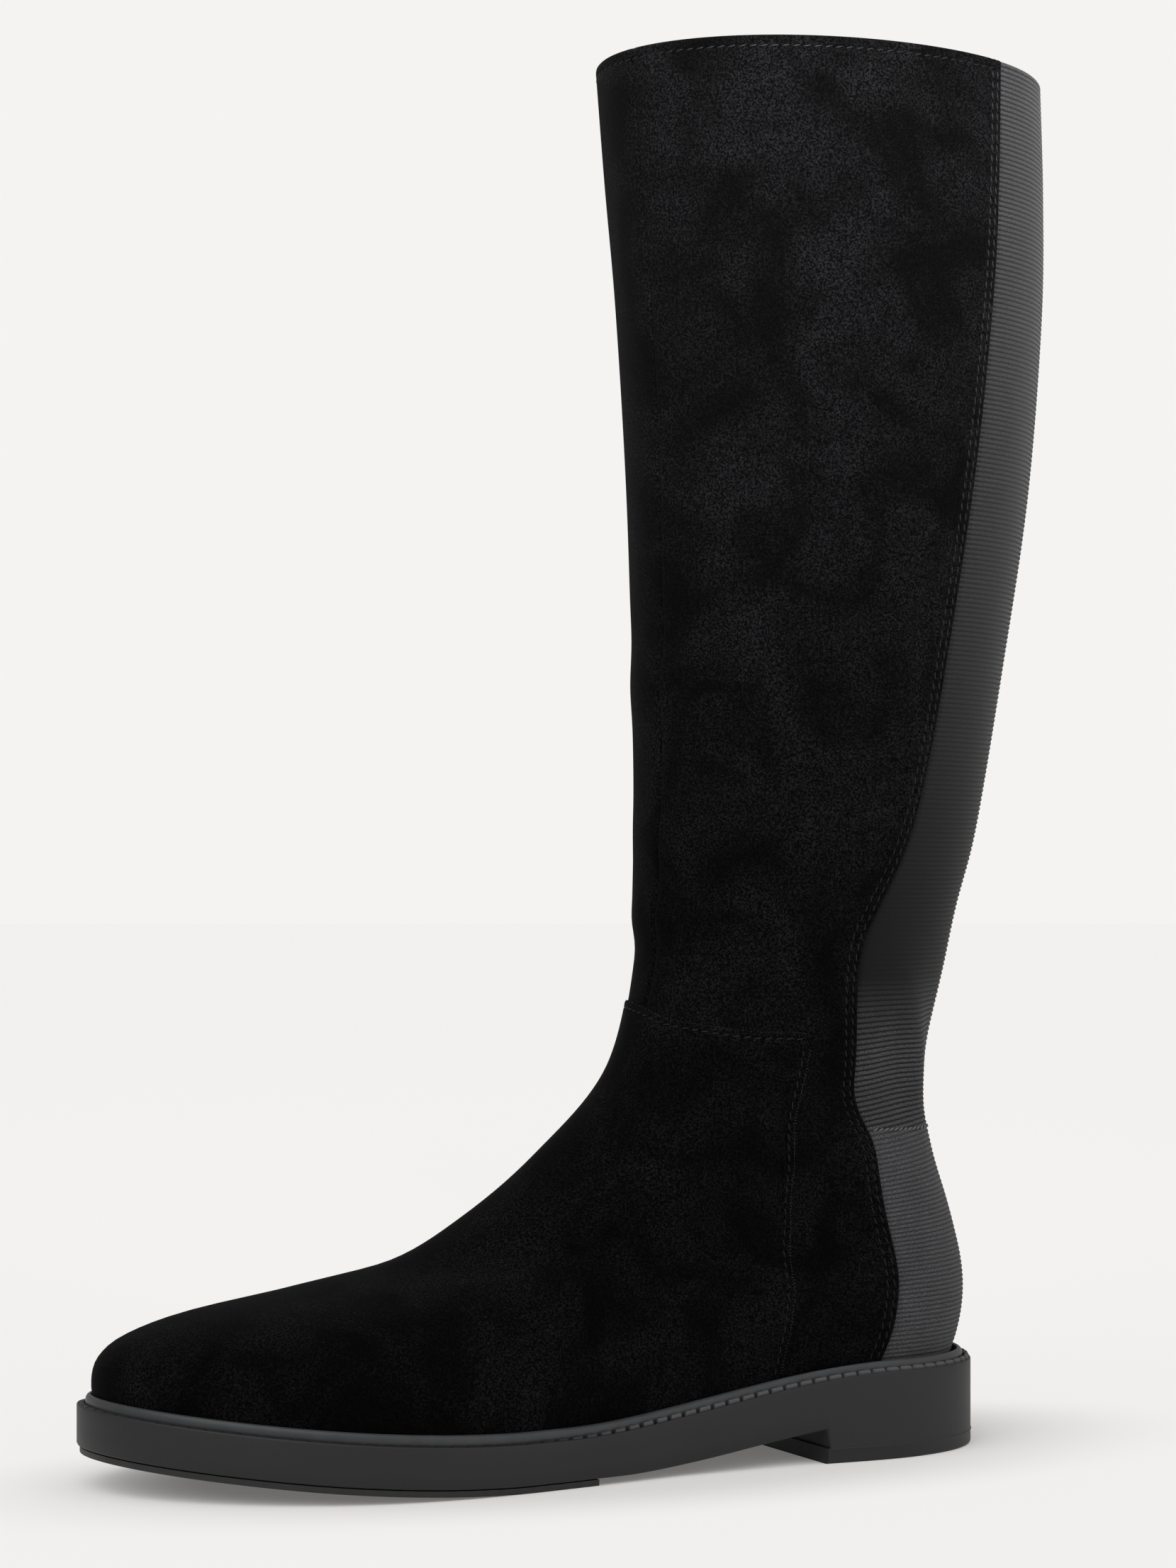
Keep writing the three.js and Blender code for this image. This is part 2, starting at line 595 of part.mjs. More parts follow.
const PULL_FRAME = SLIDER_FRAME.clone()
  .multiply(new THREE.Matrix4().makeTranslation(0, 0, CHAIN_BACK + SLIDER_THICKNESS + BRIDGE_HOLE / 2));
place(add("zip_pull", makePull(), 0x2a2a2d, 0.25, 1), PULL_FRAME);

// Steps round one side of the sole
const SOLE_STEPS = 36;

// Welt: a bead on the ledge of the sole, close round the foot where it swells above the
// feather line, and further out where the vamp lies on top
function makeWelt() {
  const turns = loopTurns(SOLE_STEPS);
  const sectionRise = FOOT_SECTIONS[1].frontUp * (ANKLE_TOP - TOE_LEDGE);
  const beadSection = BEAD_HEIGHT / sectionRise;
  const at = (out, up) => turns.map((turn) => {
    const d = -upperPoint(0, turn).x;
    const vamp = VAMP_OVERLAY * ease(d, VAMP_LAP_FROM * SOLE_LENGTH, VAMP_LAP_TO * SOLE_LENGTH);
    const point = upperOffset(beadSection, turn, vamp + GAP + out);
    point.z = ledgeHeight(-point.x) + GAP + up;
    return point;
  });
  return ringSolid([
    at(BEAD_WIDTH, 0), at(BEAD_WIDTH, BEAD_HEIGHT * 0.5), at(BEAD_WIDTH * 0.8, BEAD_HEIGHT * 0.85),
    at(BEAD_WIDTH * 0.3, BEAD_HEIGHT), at(0, BEAD_HEIGHT * 0.8), at(0, 0),
  ]);
}
add("welt", makeWelt(), 0x303133, 0.55);

// Sole unit: side wall, arch and heel block moulded in one, its top a ledge for the welt
function makeOutsole() {
  const turns = loopTurns(SOLE_STEPS, [HEEL_LENGTH, HEEL_LENGTH + BREAST_SLOPE]);
  const at = (inset, height) => turns.map((turn) => {
    const point = solePoint(turn, inset);
    point.z = height(-point.x);
    return point;
  });
  const wallTop = (d) => ledgeHeight(d) - SOLE_EDGE;
  return stackSolid([at(0, underside), at(0, wallTop), at(SOLE_EDGE / 2, ledgeHeight)]);
}
add("outsole", makeOutsole(), 0x2c2c2c, 0.6);

// Loop of a piece that covers the sole from one distance to another, with straight ends
// where it stops short of the heel end or the toe
function trimmedLoop(from, to, inset, height) {
  const turnAt = (d) => Math.acos(1 - 2 * d / SOLE_LENGTH);
  const steps = 22;
  const turns = range(steps, turnAt(from), turnAt(to));
  const middle = (turn) => {
    const point = solePoint(turn, inset);
    point.y = planMiddle((1 - Math.cos(turn)) / 2);
    return point;
  };
  const inner = turns.slice(from > 0 ? 0 : 1, to < SOLE_LENGTH ? undefined : -1);
  const lateral = inner.map((turn) => solePoint(turn, inset));
  const medial = inner.map((turn) => solePoint(2 * Math.PI - turn, inset)).reverse();
  const loop = [middle(turns[0]), ...lateral, middle(turns.at(-1)), ...medial];
  loop.forEach((point) => point.setZ(height(-point.x)));
  return loop;
}

// Heel top piece: the lift that wears, a little proud of the breast
const TOP_PIECE_END = HEEL_LENGTH + TOP_PIECE_PROUD;
add("heel_top_piece", stackSolid([
  trimmedLoop(0, TOP_PIECE_END, SOLE_EDGE, () => 0),
  trimmedLoop(0, TOP_PIECE_END, 0, () => SOLE_EDGE),
  trimmedLoop(0, TOP_PIECE_END, 0, () => TOP_PIECE),
]), 0x262626, 0.7);

// Tread: a thin dark layer under the forepart, set in from the side wall
add("forepart_tread", stackSolid([
  trimmedLoop(TREAD_FROM * SOLE_LENGTH, SOLE_LENGTH, SOLE_EDGE, toeSpring),
  trimmedLoop(TREAD_FROM * SOLE_LENGTH, SOLE_LENGTH, SOLE_EDGE, (d) => toeSpring(d) + TREAD - GAP),
]), 0x141414, 0.8);

// Insole: closes the upper from below and rests on the sole
function makeInsole() {
  const steps = 28;
  const turns = loopTurns(steps);
  const at = (up) => turns.map((turn) => {
    const point = upperOffset(0, turn, -WALL - 2 * GAP);
    point.z = ledgeHeight(-point.x) + GAP + up;
    return point;
  });
  return stackSolid([at(0), at(INSOLE)]);
}
add("insole", makeInsole(), 0xd8cbb4, 0.85);

boot.updateMatrixWorld(true);
const box = new THREE.Box3().setFromObject(boot);
boot.position.set(-(box.min.x + box.max.x) / 2, -(box.min.y + box.max.y) / 2, -box.min.z);

export default boot;
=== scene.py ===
import json
import math

import bmesh
import bpy
import numpy as np
from mathutils import Matrix, Vector


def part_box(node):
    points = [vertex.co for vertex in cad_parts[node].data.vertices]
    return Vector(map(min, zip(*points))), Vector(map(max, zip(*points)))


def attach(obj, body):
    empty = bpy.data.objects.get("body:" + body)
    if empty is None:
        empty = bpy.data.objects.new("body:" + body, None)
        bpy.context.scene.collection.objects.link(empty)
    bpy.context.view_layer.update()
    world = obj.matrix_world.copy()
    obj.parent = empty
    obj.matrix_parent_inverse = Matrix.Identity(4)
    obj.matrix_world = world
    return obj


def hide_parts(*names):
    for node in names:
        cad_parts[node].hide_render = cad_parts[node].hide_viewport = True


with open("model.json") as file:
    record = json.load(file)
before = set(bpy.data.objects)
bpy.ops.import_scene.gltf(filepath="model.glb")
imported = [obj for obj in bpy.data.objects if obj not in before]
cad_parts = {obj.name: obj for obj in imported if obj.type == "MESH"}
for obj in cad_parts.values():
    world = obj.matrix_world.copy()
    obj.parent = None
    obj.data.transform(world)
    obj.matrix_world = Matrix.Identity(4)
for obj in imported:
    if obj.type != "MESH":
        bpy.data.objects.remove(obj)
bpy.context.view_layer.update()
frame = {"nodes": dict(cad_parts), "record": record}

# Studio and camera. A pale floor that runs out to an even backdrop, one broad light from
# above the camera, a weaker one from the heel side and a small one aimed at the collar. The
# camera stands level, at the photograph's distance and angle, and takes in the whole boot.
# Camera, lights and floor are in metres. The boot's sizes, from the insole on, are in mm.
MM = 0.001
CAMERA_AT = (-0.4224, -0.8984, 0.1594)
CAMERA_TURN = -25.2
FOCAL_PIXELS = 4820
PHOTO_HEIGHT = 2212
SENSOR = 36.0
RISE_PIXELS = 178
NEAREST = 0.01
FARTHEST = 100


def linear(code):
    """Linear red, green, blue and alpha of an sRGB hex colour"""
    parts = [int(code[i:i + 2], 16) / 255 for i in (1, 3, 5)]
    return (*(c / 12.92 if c <= 0.04045 else ((c + 0.055) / 1.055) ** 2.4 for c in parts), 1)


def node(tree, kind, inputs, **settings):
    """A new shader node, its inputs filled by values or by other nodes' outputs"""
    made = tree.nodes.new("ShaderNode" + kind)
    for name, value in settings.items():
        setattr(made, name, value)
    for socket, value in inputs.items():
        if isinstance(value, bpy.types.NodeSocket):
            tree.links.new(value, made.inputs[socket])
        else:
            made.inputs[socket].default_value = value
    return made


def place_of(tree, kind="Object"):
    """Where a point of the surface lies, on the object or on its UV map"""
    return node(tree, "TexCoord", {}).outputs[kind]


def noise(tree, place, grain, detail, **inputs):
    """Noise from 0 to 1 whose grain is a size in mm"""
    sockets = {"Vector": place, "Scale": 1 / (grain * MM), "Detail": detail, **inputs}
    return node(tree, "TexNoise", sockets).outputs["Fac"]


def carried(tree, value, low=0.0, high=1.0, first=0.0, last=1.0, **settings):
    """A value carried from the range between low and high to the one between first and last"""
    sockets = {0: value, 1: low, 2: high, 3: first, 4: last}
    return node(tree, "MapRange", sockets, **settings).outputs[0]


def reckoned(tree, operation, *values):
    """The sum, product or the like of values"""
    return node(tree, "Math", dict(enumerate(values)), operation=operation).outputs[0]


def between(tree, share, first, last):
    """A colour between two, each a hex colour or another node's output"""
    ends = [linear(c) if isinstance(c, str) else c for c in (first, last)]
    sockets = {"Factor": share, "A": ends[0], "B": ends[1]}
    return node(tree, "Mix", sockets, data_type="RGBA").outputs["Result"]


def new_material(name, **sockets):
    """A material whose shader has the given constant values, with underscores for spaces"""
    material = bpy.data.materials.new(name)
    material.use_nodes = True
    shader = material.node_tree.nodes["Principled BSDF"]
    for socket, value in sockets.items():
        shader.inputs[socket.replace("_", " ")].default_value = value
    return material, material.node_tree, shader


def add_bump(tree, shader, height, strength, depth):
    """Relief finer than the mesh, its depth in mm"""
    sockets = {"Height": height, "Strength": strength, "Distance": depth * MM}
    tree.links.new(node(tree, "Bump", sockets).outputs["Normal"], shader.inputs["Normal"])


# Light and dark bands to one unit of the wave texture at scale 1, near enough
BANDS_TO_UNIT = 6.3


def waves(tree, place, width, direction):
    """Light and dark bands, each as wide as a size in mm, or 1.4 times that on the diagonal"""
    sockets = {"Vector": place, "Scale": 1 / (width * MM) / BANDS_TO_UNIT}
    return node(tree, "TexWave", sockets, bands_direction=direction).outputs["Fac"]


def scaled(tree, colour, share):
    """A hex colour made darker or lighter by a share"""
    sockets = {0: linear(colour)[:3], "Scale": share}
    return node(tree, "VectorMath", sockets, operation="SCALE").outputs[0]


def shown(thing):
    """A camera, lamp or mesh put in the scene"""
    made = bpy.data.objects.new(thing.name, thing)
    bpy.context.scene.collection.objects.link(made)
    return made


camera = shown(bpy.data.cameras.new("camera"))
camera.location = CAMERA_AT
camera.rotation_euler = (math.radians(90), 0, math.radians(CAMERA_TURN))
camera.data.sensor_width = SENSOR
camera.data.lens = SENSOR * FOCAL_PIXELS / PHOTO_HEIGHT
camera.data.shift_y = RISE_PIXELS / PHOTO_HEIGHT
camera.data.clip_start = NEAREST
camera.data.clip_end = FARTHEST
bpy.context.scene.camera = camera
bpy.context.scene.view_settings.view_transform = "Standard"

PAPER = "#f5f3f1"
ROOM_LIGHT = 0.5
BACKDROP_LIGHT = 1.0
world = bpy.data.worlds.new("studio")
world.use_nodes = True
tree = world.node_tree
room = tree.nodes["Background"]
room.inputs["Color"].default_value = linear(PAPER)
room.inputs["Strength"].default_value = ROOM_LIGHT
backdrop = node(tree, "Background", {"Color": linear(PAPER), "Strength": BACKDROP_LIGHT})
seen = node(tree, "LightPath", {}).outputs["Is Camera Ray"]
mixed = node(tree, "MixShader", {0: seen, 1: room.outputs[0], 2: backdrop.outputs[0]})
tree.links.new(mixed.outputs[0], tree.nodes["World Output"].inputs["Surface"])
bpy.context.scene.world = world

COLLAR_LIGHT_AT = (-0.2, -0.75, 0.6)
COLLAR_LIGHT_AIM = (0.07, 0.0, 0.43)
COLLAR_LIGHT_WATTS = 1.2
COLLAR_LIGHT_SIZE = 0.3
COLLAR_LIGHT_SPREAD = 36
lamp = bpy.data.lights.new("softbox_at_collar", "AREA")
lamp.energy = COLLAR_LIGHT_WATTS
lamp.size = COLLAR_LIGHT_SIZE
lamp.spread = math.radians(COLLAR_LIGHT_SPREAD)
collar_light = shown(lamp)
collar_light.location = COLLAR_LIGHT_AT
aim = Vector(COLLAR_LIGHT_AIM) - collar_light.location
collar_light.rotation_euler = aim.to_track_quat("-Z", "Y").to_euler()

# The two broad lights: name, strength, and in degrees how wide each looks, its turn and tilt
for name, strength, width, turn, tilt in (
        ("softbox_above", 1.45, 60, -50, 40), ("softbox_heel_side", 0.55, 60, 40, 62)):
    lamp = bpy.data.lights.new(name, "SUN")
    lamp.energy = strength
    lamp.angle = math.radians(width)
    shown(lamp).rotation_euler = (math.radians(tilt), 0, math.radians(turn))

# White paper, matt. Around the boot it takes the boot's shadow, and further out it glows by
# itself, so that it stays as even and as bright as the backdrop.
FLOOR_RADIUS = 40
PAPER_SHARE = 0.93
SHADOW_SHAPE = (5.6, 12, 1)
GLOW_FROM = 0.62
GLOW_TO = 1.2
GLOW_NEAR = 0.15
GLOW_FAR = 0.87
bm = bmesh.new()
bmesh.ops.create_circle(bm, cap_ends=True, segments=64, radius=FLOOR_RADIUS)
floor_mesh = bpy.data.meshes.new("floor")
bm.to_mesh(floor_mesh)
bm.free()
floor = shown(floor_mesh)
paper, tree, shader = new_material("matt white paper", Roughness=1, Specular_IOR_Level=0,
                                   Emission_Color=linear(PAPER))
shape = node(tree, "Mapping", {"Vector": place_of(tree), "Scale": SHADOW_SHAPE})
distance = node(tree, "VectorMath", {0: shape.outputs[0]}, operation="LENGTH").outputs["Value"]
glow = carried(tree, distance, GLOW_FROM, GLOW_TO, GLOW_NEAR, GLOW_FAR, interpolation_type="SMOOTHSTEP")
lit = carried(tree, glow, first=PAPER_SHARE, last=0.0)
tree.links.new(scaled(tree, PAPER, lit), shader.inputs["Base Color"])
tree.links.new(glow, shader.inputs["Emission Strength"])
floor_mesh.materials.append(paper)

# Insole. A leather sock on a board, cut to the inside of the upper, which closes the boot
# from below. Its outline is the last's, so the last's plan and heights are set here.
SOLE_LENGTH = 272
BALL_WIDTH = 100
HEEL_HEIGHT = 25.5
FOREPART_HEIGHT = 13.6
TOE_SPRING = 9.5
SPRING_START = 0.6
SPRING_POWER = 1.5
LEDGE_FALL_FROM = 0.147
LEDGE_FALL_TO = 0.55
ARCH_FROM = 0.7
ARCH_TO = 0.49
BREAST_HEIGHT = 10.9
HEEL_LENGTH = 64
TOP_PIECE = 4.4
TREAD = 2
GAP = 0.3
HEEL_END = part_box("outsole")[1].x / MM
MIDLINE = -1.04


def named_columns(names, rows):
    """A table whose columns are found by their names"""
    return dict(zip(names.split(), np.array(rows, float).T))


PLAN = named_columns("along centre fullness", [
    (0.00, 0.000, 0.690), (0.12, 0.000, 0.554), (0.25, -0.018, 0.410), (0.40, -0.040, 0.357),
    (0.50, -0.043, 0.385), (0.60, -0.025, 0.454), (0.70, 0.005, 0.538), (0.80, 0.040, 0.606),
    (0.90, 0.082, 0.652), (1.00, 0.110, 0.680),
])


def smooth(table, key, column, at):
    """Values of a column at places between the rows, on a smooth curve"""
    x, y = table[key], table[column]
    last = len(x) - 1
    before = np.maximum(np.arange(last + 1) - 1, 0)
    after = np.minimum(np.arange(last + 1) + 1, last)
    slope = (y[after] - y[before]) / (x[after] - x[before])
    at = np.asarray(at, float)
    i = np.clip(np.searchsorted(x, at) - 1, 0, last - 1)
    span = x[i + 1] - x[i]
    t = np.clip((at - x[i]) / span, 0, 1)
    return ((2 * t ** 3 - 3 * t ** 2 + 1) * y[i] + (t ** 3 - 2 * t ** 2 + t) * span * slope[i]
            + (3 * t ** 2 - 2 * t ** 3) * y[i + 1] + (t ** 3 - t ** 2) * span * slope[i + 1])


def ease(x, start, end):
    """0 before start, 1 after end, and a smooth step between"""
    t = np.clip((x - start) / (end - start), 0, 1)
    return t * t * (3 - 2 * t)


def toe_spring(d):
    rise = np.maximum(0, (d / SOLE_LENGTH - SPRING_START) / (1 - SPRING_START))
    return TOE_SPRING * rise ** SPRING_POWER


def ledge_height(d):
    drop = ease(d / SOLE_LENGTH, LEDGE_FALL_FROM, LEDGE_FALL_TO)
    return HEEL_HEIGHT + (FOREPART_HEIGHT - HEEL_HEIGHT) * drop + toe_spring(d)


def underside(d):
    """Height of the sole's lower face: level under the heel, an arch, then the forepart"""
    fall = ease(d, ARCH_FROM * HEEL_LENGTH, ARCH_TO * SOLE_LENGTH)
    arch = BREAST_HEIGHT + (TREAD - BREAST_HEIGHT) * fall
    return np.where(d <= HEEL_LENGTH, TOP_PIECE, arch + toe_spring(d))


# Calf lining leather, split and buffed: pale cream, matt, with a fine even grain
LINING_GRAIN = 0.9
LINING_CLOUD = 18
lining_leather, tree, shader = new_material("lining leather", Roughness=0.75)
place = place_of(tree)
colour = between(tree, noise(tree, place, LINING_CLOUD, 3), "#d6c7ae", "#eadcc6")
tree.links.new(colour, shader.inputs["Base Color"])
add_bump(tree, shader, noise(tree, place, LINING_GRAIN, 2), 0.4, 0.1)

insole = frame["nodes"]["insole"]
insole.data.materials.clear()
insole.data.materials.append(lining_leather)

# Lining. Two pieces of the same cream leather, cemented inside the suede up to the collar,
# one from the gore round the front to the zip and one between the zip and the gore. They
# are the first pieces laid on the leg, so the leg's form is worked out here.
ANKLE_RISE = 118.5
ANKLE_WIDTH = 75
SHAFT_RISE = 264
CALF_DEPTH = 138
CALF_WIDTH = 102
FEATHER_INSET = 5.8
SHAFT_HEEL_SPREAD = 0.88
SHAFT_FORE_SPREAD = 0.62
SPREAD_FROM = 0.1
SPREAD_TO = 0.9
SECTIONS_FOLLOWING_SOLE = 6
FOOT_SECTIONS = named_columns("back back_up front front_up heel fore half round", [
    (0.0213, 0.000, 0.979, 0.000, 1.00, 1.00, 0.50, 0.00),
    (0.0118, 0.063, 0.982, 0.049, 1.03, 1.02, 0.50, 0.00),
    (0.0059, 0.127, 0.975, 0.101, 1.04, 1.01, 0.50, 0.00),
    (0.0044, 0.190, 0.949, 0.146, 1.03, 0.95, 0.50, 0.00),
    (0.0081, 0.257, 0.890, 0.188, 1.01, 0.84, 0.49, 0.00),
    (0.0162, 0.329, 0.783, 0.226, 0.98, 0.74, 0.48, 0.05),
    (0.0276, 0.418, 0.669, 0.275, 0.94, 0.67, 0.46, 0.15),
    (0.0441, 0.544, 0.586, 0.377, 0.90, 0.63, 0.45, 0.40),
    (0.0515, 0.654, 0.503, 0.527, 0.88, 0.62, 0.45, 0.75),
    (0.0449, 0.797, 0.420, 0.735, 0.88, 0.62, 0.47, 0.95),
    (0.0257, 1.000, 0.388, 1.000, 0.88, 0.62, 0.50, 1.00),
])
SHAFT_SECTIONS = named_columns("up middle depth half", [
    (0.061, 0.2035, 0.759, 0.375), (0.152, 0.1868, 0.794, 0.390), (0.330, 0.1715, 0.857, 0.430),
    (0.530, 0.1585, 0.926, 0.475), (0.731, 0.1561, 0.983, 0.500), (0.871, 0.1618, 1.014, 0.505),
    (1.000, 0.1691, 1.029, 0.505),
])
GORE_AND_ZIP = named_columns("section lateral medial zip", [
    (0, 46, 49, 64), (2, 45, 47, 60), (4, 46, 46, 58), (6, 52, 47, 62), (7.5, 57, 48, 65),
    (8.7, 75, 51, 68), (10, 87, 54, 70), (11.3, 79, 55, 70), (12.5, 72, 57, 74), (14, 69, 55, 77),
    (15.5, 64, 48, 70), (17, 60, 42, 65),
])
ANKLE_TOP = HEEL_HEIGHT + ANKLE_RISE
TOE_LEDGE = float(ledge_height(SOLE_LENGTH))
FOOT, SHAFT = FOOT_SECTIONS, SHAFT_SECTIONS
SHAFT_COUNT = len(SHAFT["up"])
SHAFT_MIDDLE = SHAFT["middle"] * SOLE_LENGTH
SHAFT_REACH = SHAFT["depth"] * CALF_DEPTH / 2
SHAFT_UP = ANKLE_TOP + SHAFT["up"] * SHAFT_RISE
COLLAR = len(FOOT["back"]) + SHAFT_COUNT - 1
LEG = {
    "section": np.arange(COLLAR + 1.0),
    "back": np.r_[FOOT["back"] * SOLE_LENGTH, SHAFT_MIDDLE - SHAFT_REACH],
    "front": np.r_[FOOT["front"] * SOLE_LENGTH, SHAFT_MIDDLE + SHAFT_REACH],
    "back_up": np.r_[HEEL_HEIGHT + GAP + FOOT["back_up"] * (ANKLE_RISE - GAP), SHAFT_UP],
    "front_up": np.r_[TOE_LEDGE + GAP + FOOT["front_up"] * (ANKLE_TOP - TOE_LEDGE - GAP), SHAFT_UP],
    "heel": np.r_[FOOT["heel"], np.full(SHAFT_COUNT, SHAFT_HEEL_SPREAD)],
    "fore": np.r_[FOOT["fore"], np.full(SHAFT_COUNT, SHAFT_FORE_SPREAD)],
    "half": np.r_[FOOT["half"] * ANKLE_WIDTH, SHAFT["half"] * CALF_WIDTH],
    "round": np.r_[FOOT["round"], np.ones(SHAFT_COUNT)],
}


def leg_point(section, turn):
    """Outer face of the leg, in mm from the heel end, at a section and a turn from the back"""
    def at(column):
        return smooth(LEG, "section", column, section)
    s = 0.5 - 0.5 * np.cos(turn)
    d = at("back") + (at("front") - at("back")) * s
    spread = at("heel") + (at("fore") - at("heel")) * ease(s, SPREAD_FROM, SPREAD_TO)
    foot = smooth(PLAN, "along", "fullness", s) * BALL_WIDTH * spread - FEATHER_INSET
    half = 2 * np.sqrt(np.maximum(s * (1 - s), 0)) * (foot + (at("half") - foot) * at("round"))
    middle = smooth(PLAN, "along", "centre", s) * BALL_WIDTH * (1 - at("round"))
    level = at("back_up") + (at("front_up") - at("back_up")) * s
    chord = HEEL_HEIGHT + (TOE_LEDGE - HEEL_HEIGHT) * s
    up = level + (ledge_height(d) - chord) * (1 - ease(section, 0, SECTIONS_FOLLOWING_SOLE))
    side = np.where(np.sin(turn) > 0, -1, 1)
    return np.stack(np.broadcast_arrays(-d, middle + side * half, up), -1)


def unit(v):
    return v / np.linalg.norm(v, axis=-1, keepdims=True)


STEP = 0.01


def leg_normal(section, turn):
    above = leg_point(np.minimum(section + STEP, COLLAR), turn)
    below = leg_point(np.maximum(section - STEP, 0), turn)
    around = leg_point(section, turn + STEP) - leg_point(section, turn - STEP)
    return unit(np.cross(above - below, around))


# Soft folds: height of the middle, its turn, length and width in mm, slope in
# degrees, and depth (a trough is negative)
FOLDS = named_columns("up turn length width slope depth", [
    (107, 51, 22, 7, 52, -1.5), (116, 42, 23, 5, 52, 1.7), (129, 34, 20, 8, 50, -0.9),
    (165, 160, 30, 10, 10, -1.6), (178, 160, 26, 8, 8, 1.0), (150, 130, 30, 10, -14, -0.9),
    (224, 172, 22, 9, 4, 1.3), (240, 165, 26, 9, 0, -0.7),
    (122, 100, 34, 10, 8, 0.7), (108, 96, 26, 12, 12, -0.8),
    (132, 300, 28, 9, 34, -1.3), (122, 318, 22, 7, 30, 1.1), (160, 205, 26, 9, -10, -1.2),
    (335, 100, 60, 26, 78, 0.9), (300, 130, 70, 20, 82, -0.8), (265, 290, 60, 22, 80, -0.8),
    (345, 250, 60, 24, 80, 0.7), (70, 150, 46, 14, 24, 0.6), (56, 130, 40, 12, 20, -0.6),
])
ANKLE_RADIUS = 46
FOLDS_FROM = 0.5
FOLDS_WHOLE = 3


def relief(section, turn, height):
    """How far the folds lift the leg's face, in mm"""
    total = np.zeros_like(height)
    for up, middle, length, width, slope, depth in zip(*FOLDS.values()):
        across = (turn - math.radians(middle)) * ANKLE_RADIUS
        rise = height - up
        a = math.radians(slope)
        along = across * math.cos(a) + rise * math.sin(a)
        beside = rise * math.cos(a) - across * math.sin(a)
        total += depth * np.exp(-(along / length) ** 2 - (beside / width) ** 2)
    return total * ease(section, FOLDS_FROM, FOLDS_WHOLE)


def on_leg(section, turn, out=0.0):
    """Points on the leg in the frame's metres, a distance in mm out of its face"""
    section, turn = np.broadcast_arrays(np.asarray(section, float), np.asarray(turn, float))
    point = leg_point(section, turn)
    lift = np.asarray(out) + relief(section, turn, point[..., 2])
    point = point + leg_normal(section, turn) * lift[..., None]
    return (point + (HEEL_END, MIDLINE, 0)) * MM


def gore_lateral(section):
    return np.radians(smooth(GORE_AND_ZIP, "section", "lateral", section))


def gore_medial(section):
    return 2 * math.pi - np.radians(smooth(GORE_AND_ZIP, "section", "medial", section))


def zip_line(section):
    return 2 * math.pi - np.radians(smooth(GORE_AND_ZIP, "section", "zip", section))


LEAST_LEAN = 0.2


def beside(line, distance):
    """The line that runs beside another, towards greater turns, at a distance in mm that is a
    number or goes with the section"""
    def moved(section):
        apart = distance(section) if callable(distance) else distance
        turn = line(section)
        above = leg_point(section + STEP, line(section + STEP))
        ahead = unit(above - leg_point(section - STEP, line(section - STEP)))
        round_leg = leg_point(section, turn + STEP) - leg_point(section, turn - STEP)
        rate = np.linalg.norm(round_leg, axis=-1) / (2 * STEP)
        lean = np.sqrt(np.maximum(1 - (ahead * unit(round_leg)).sum(-1) ** 2, LEAST_LEAN))
        return turn + apart / (rate * lean)
    return moved


def lengths(points):
    """Distance along a row of points, from its first"""
    return np.r_[0, np.cumsum(np.linalg.norm(np.diff(points, axis=0), axis=1))]


def stations(length, start, end, count):
    """Distances along a length: those of its two trimmed ends and even steps between"""
    middle = np.linspace(start[-1][0], length - end[-1][0], count + 1)[1:-1]
    return np.r_[[d for d, _ in start], middle, [length - d for d, _ in end[::-1]]]


def drops(start, end, count):
    """How far each station lies below the face"""
    return np.r_[[out for _, out in start], np.zeros(count - 1), [out for _, out in end[::-1]]]


FINE = 600
FINE_AROUND = 160


def sections_along(line, low, high, start, end, count):
    """Sections at the stations of a line up the leg"""
    fine = np.linspace(low, high, FINE)
    run = lengths(leg_point(fine, line(fine)))
    return np.interp(stations(run[-1], start, end, count), run, fine)


PLAIN = [(0, 0)]


def draped(left, right, sections, lift, start=PLAIN, end=PLAIN, count=8, row_drops=0.0, top=None):
    """A grid of quads laid on the leg between two lines, with UVs in metres and each row's drop
    kept as an attribute. top bends the rows to end on a seam: it gives the share of each row's
    section at a turn."""
    column_drops = drops(start, end, count)
    rows = []
    across = []
    for section in sections:
        turns = np.linspace(left(section), right(section), FINE_AROUND)
        level = section * top(turns) if top else np.full_like(turns, section)
        run = lengths(leg_point(level, turns))
        place = stations(run[-1], start, end, count)
        turn = np.interp(place, run, turns)
        rows.append((section * top(turn) if top else np.full_like(turn, section), turn))
        across.append(place)
    level = np.array([r[0] for r in rows])
    turn = np.array([r[1] for r in rows])
    out = lift + np.minimum(column_drops[None, :], 0) + np.asarray(row_drops).reshape(-1, 1)
    points = on_leg(np.clip(level, 0, COLLAR), turn, np.broadcast_to(out, level.shape))
    middle = len(column_drops) // 2
    up = lengths(points[:, middle] / MM)
    bm = bmesh.new()
    layer = bm.loops.layers.uv.new("UVMap")
    hollow = bm.verts.layers.float.new("hollow")
    sunk = np.broadcast_to(np.asarray(row_drops, float), len(sections))
    rows_count, columns_count = level.shape
    bmesh.ops.create_grid(bm, x_segments=columns_count - 1, y_segments=rows_count - 1, size=0.5)
    place = {}
    for v in bm.verts:
        i = round((v.co.x + 0.5) * (columns_count - 1))
        j = round((v.co.y + 0.5) * (rows_count - 1))
        place[v] = (across[j][i] * MM, up[j] * MM)
        v[hollow] = -sunk[j]
        v.co = points[j, i]
    for face in bm.faces:
        for loop in face.loops:
            loop[layer].uv = place[loop.vert]
    bmesh.ops.reverse_faces(bm, faces=bm.faces)
    return bm


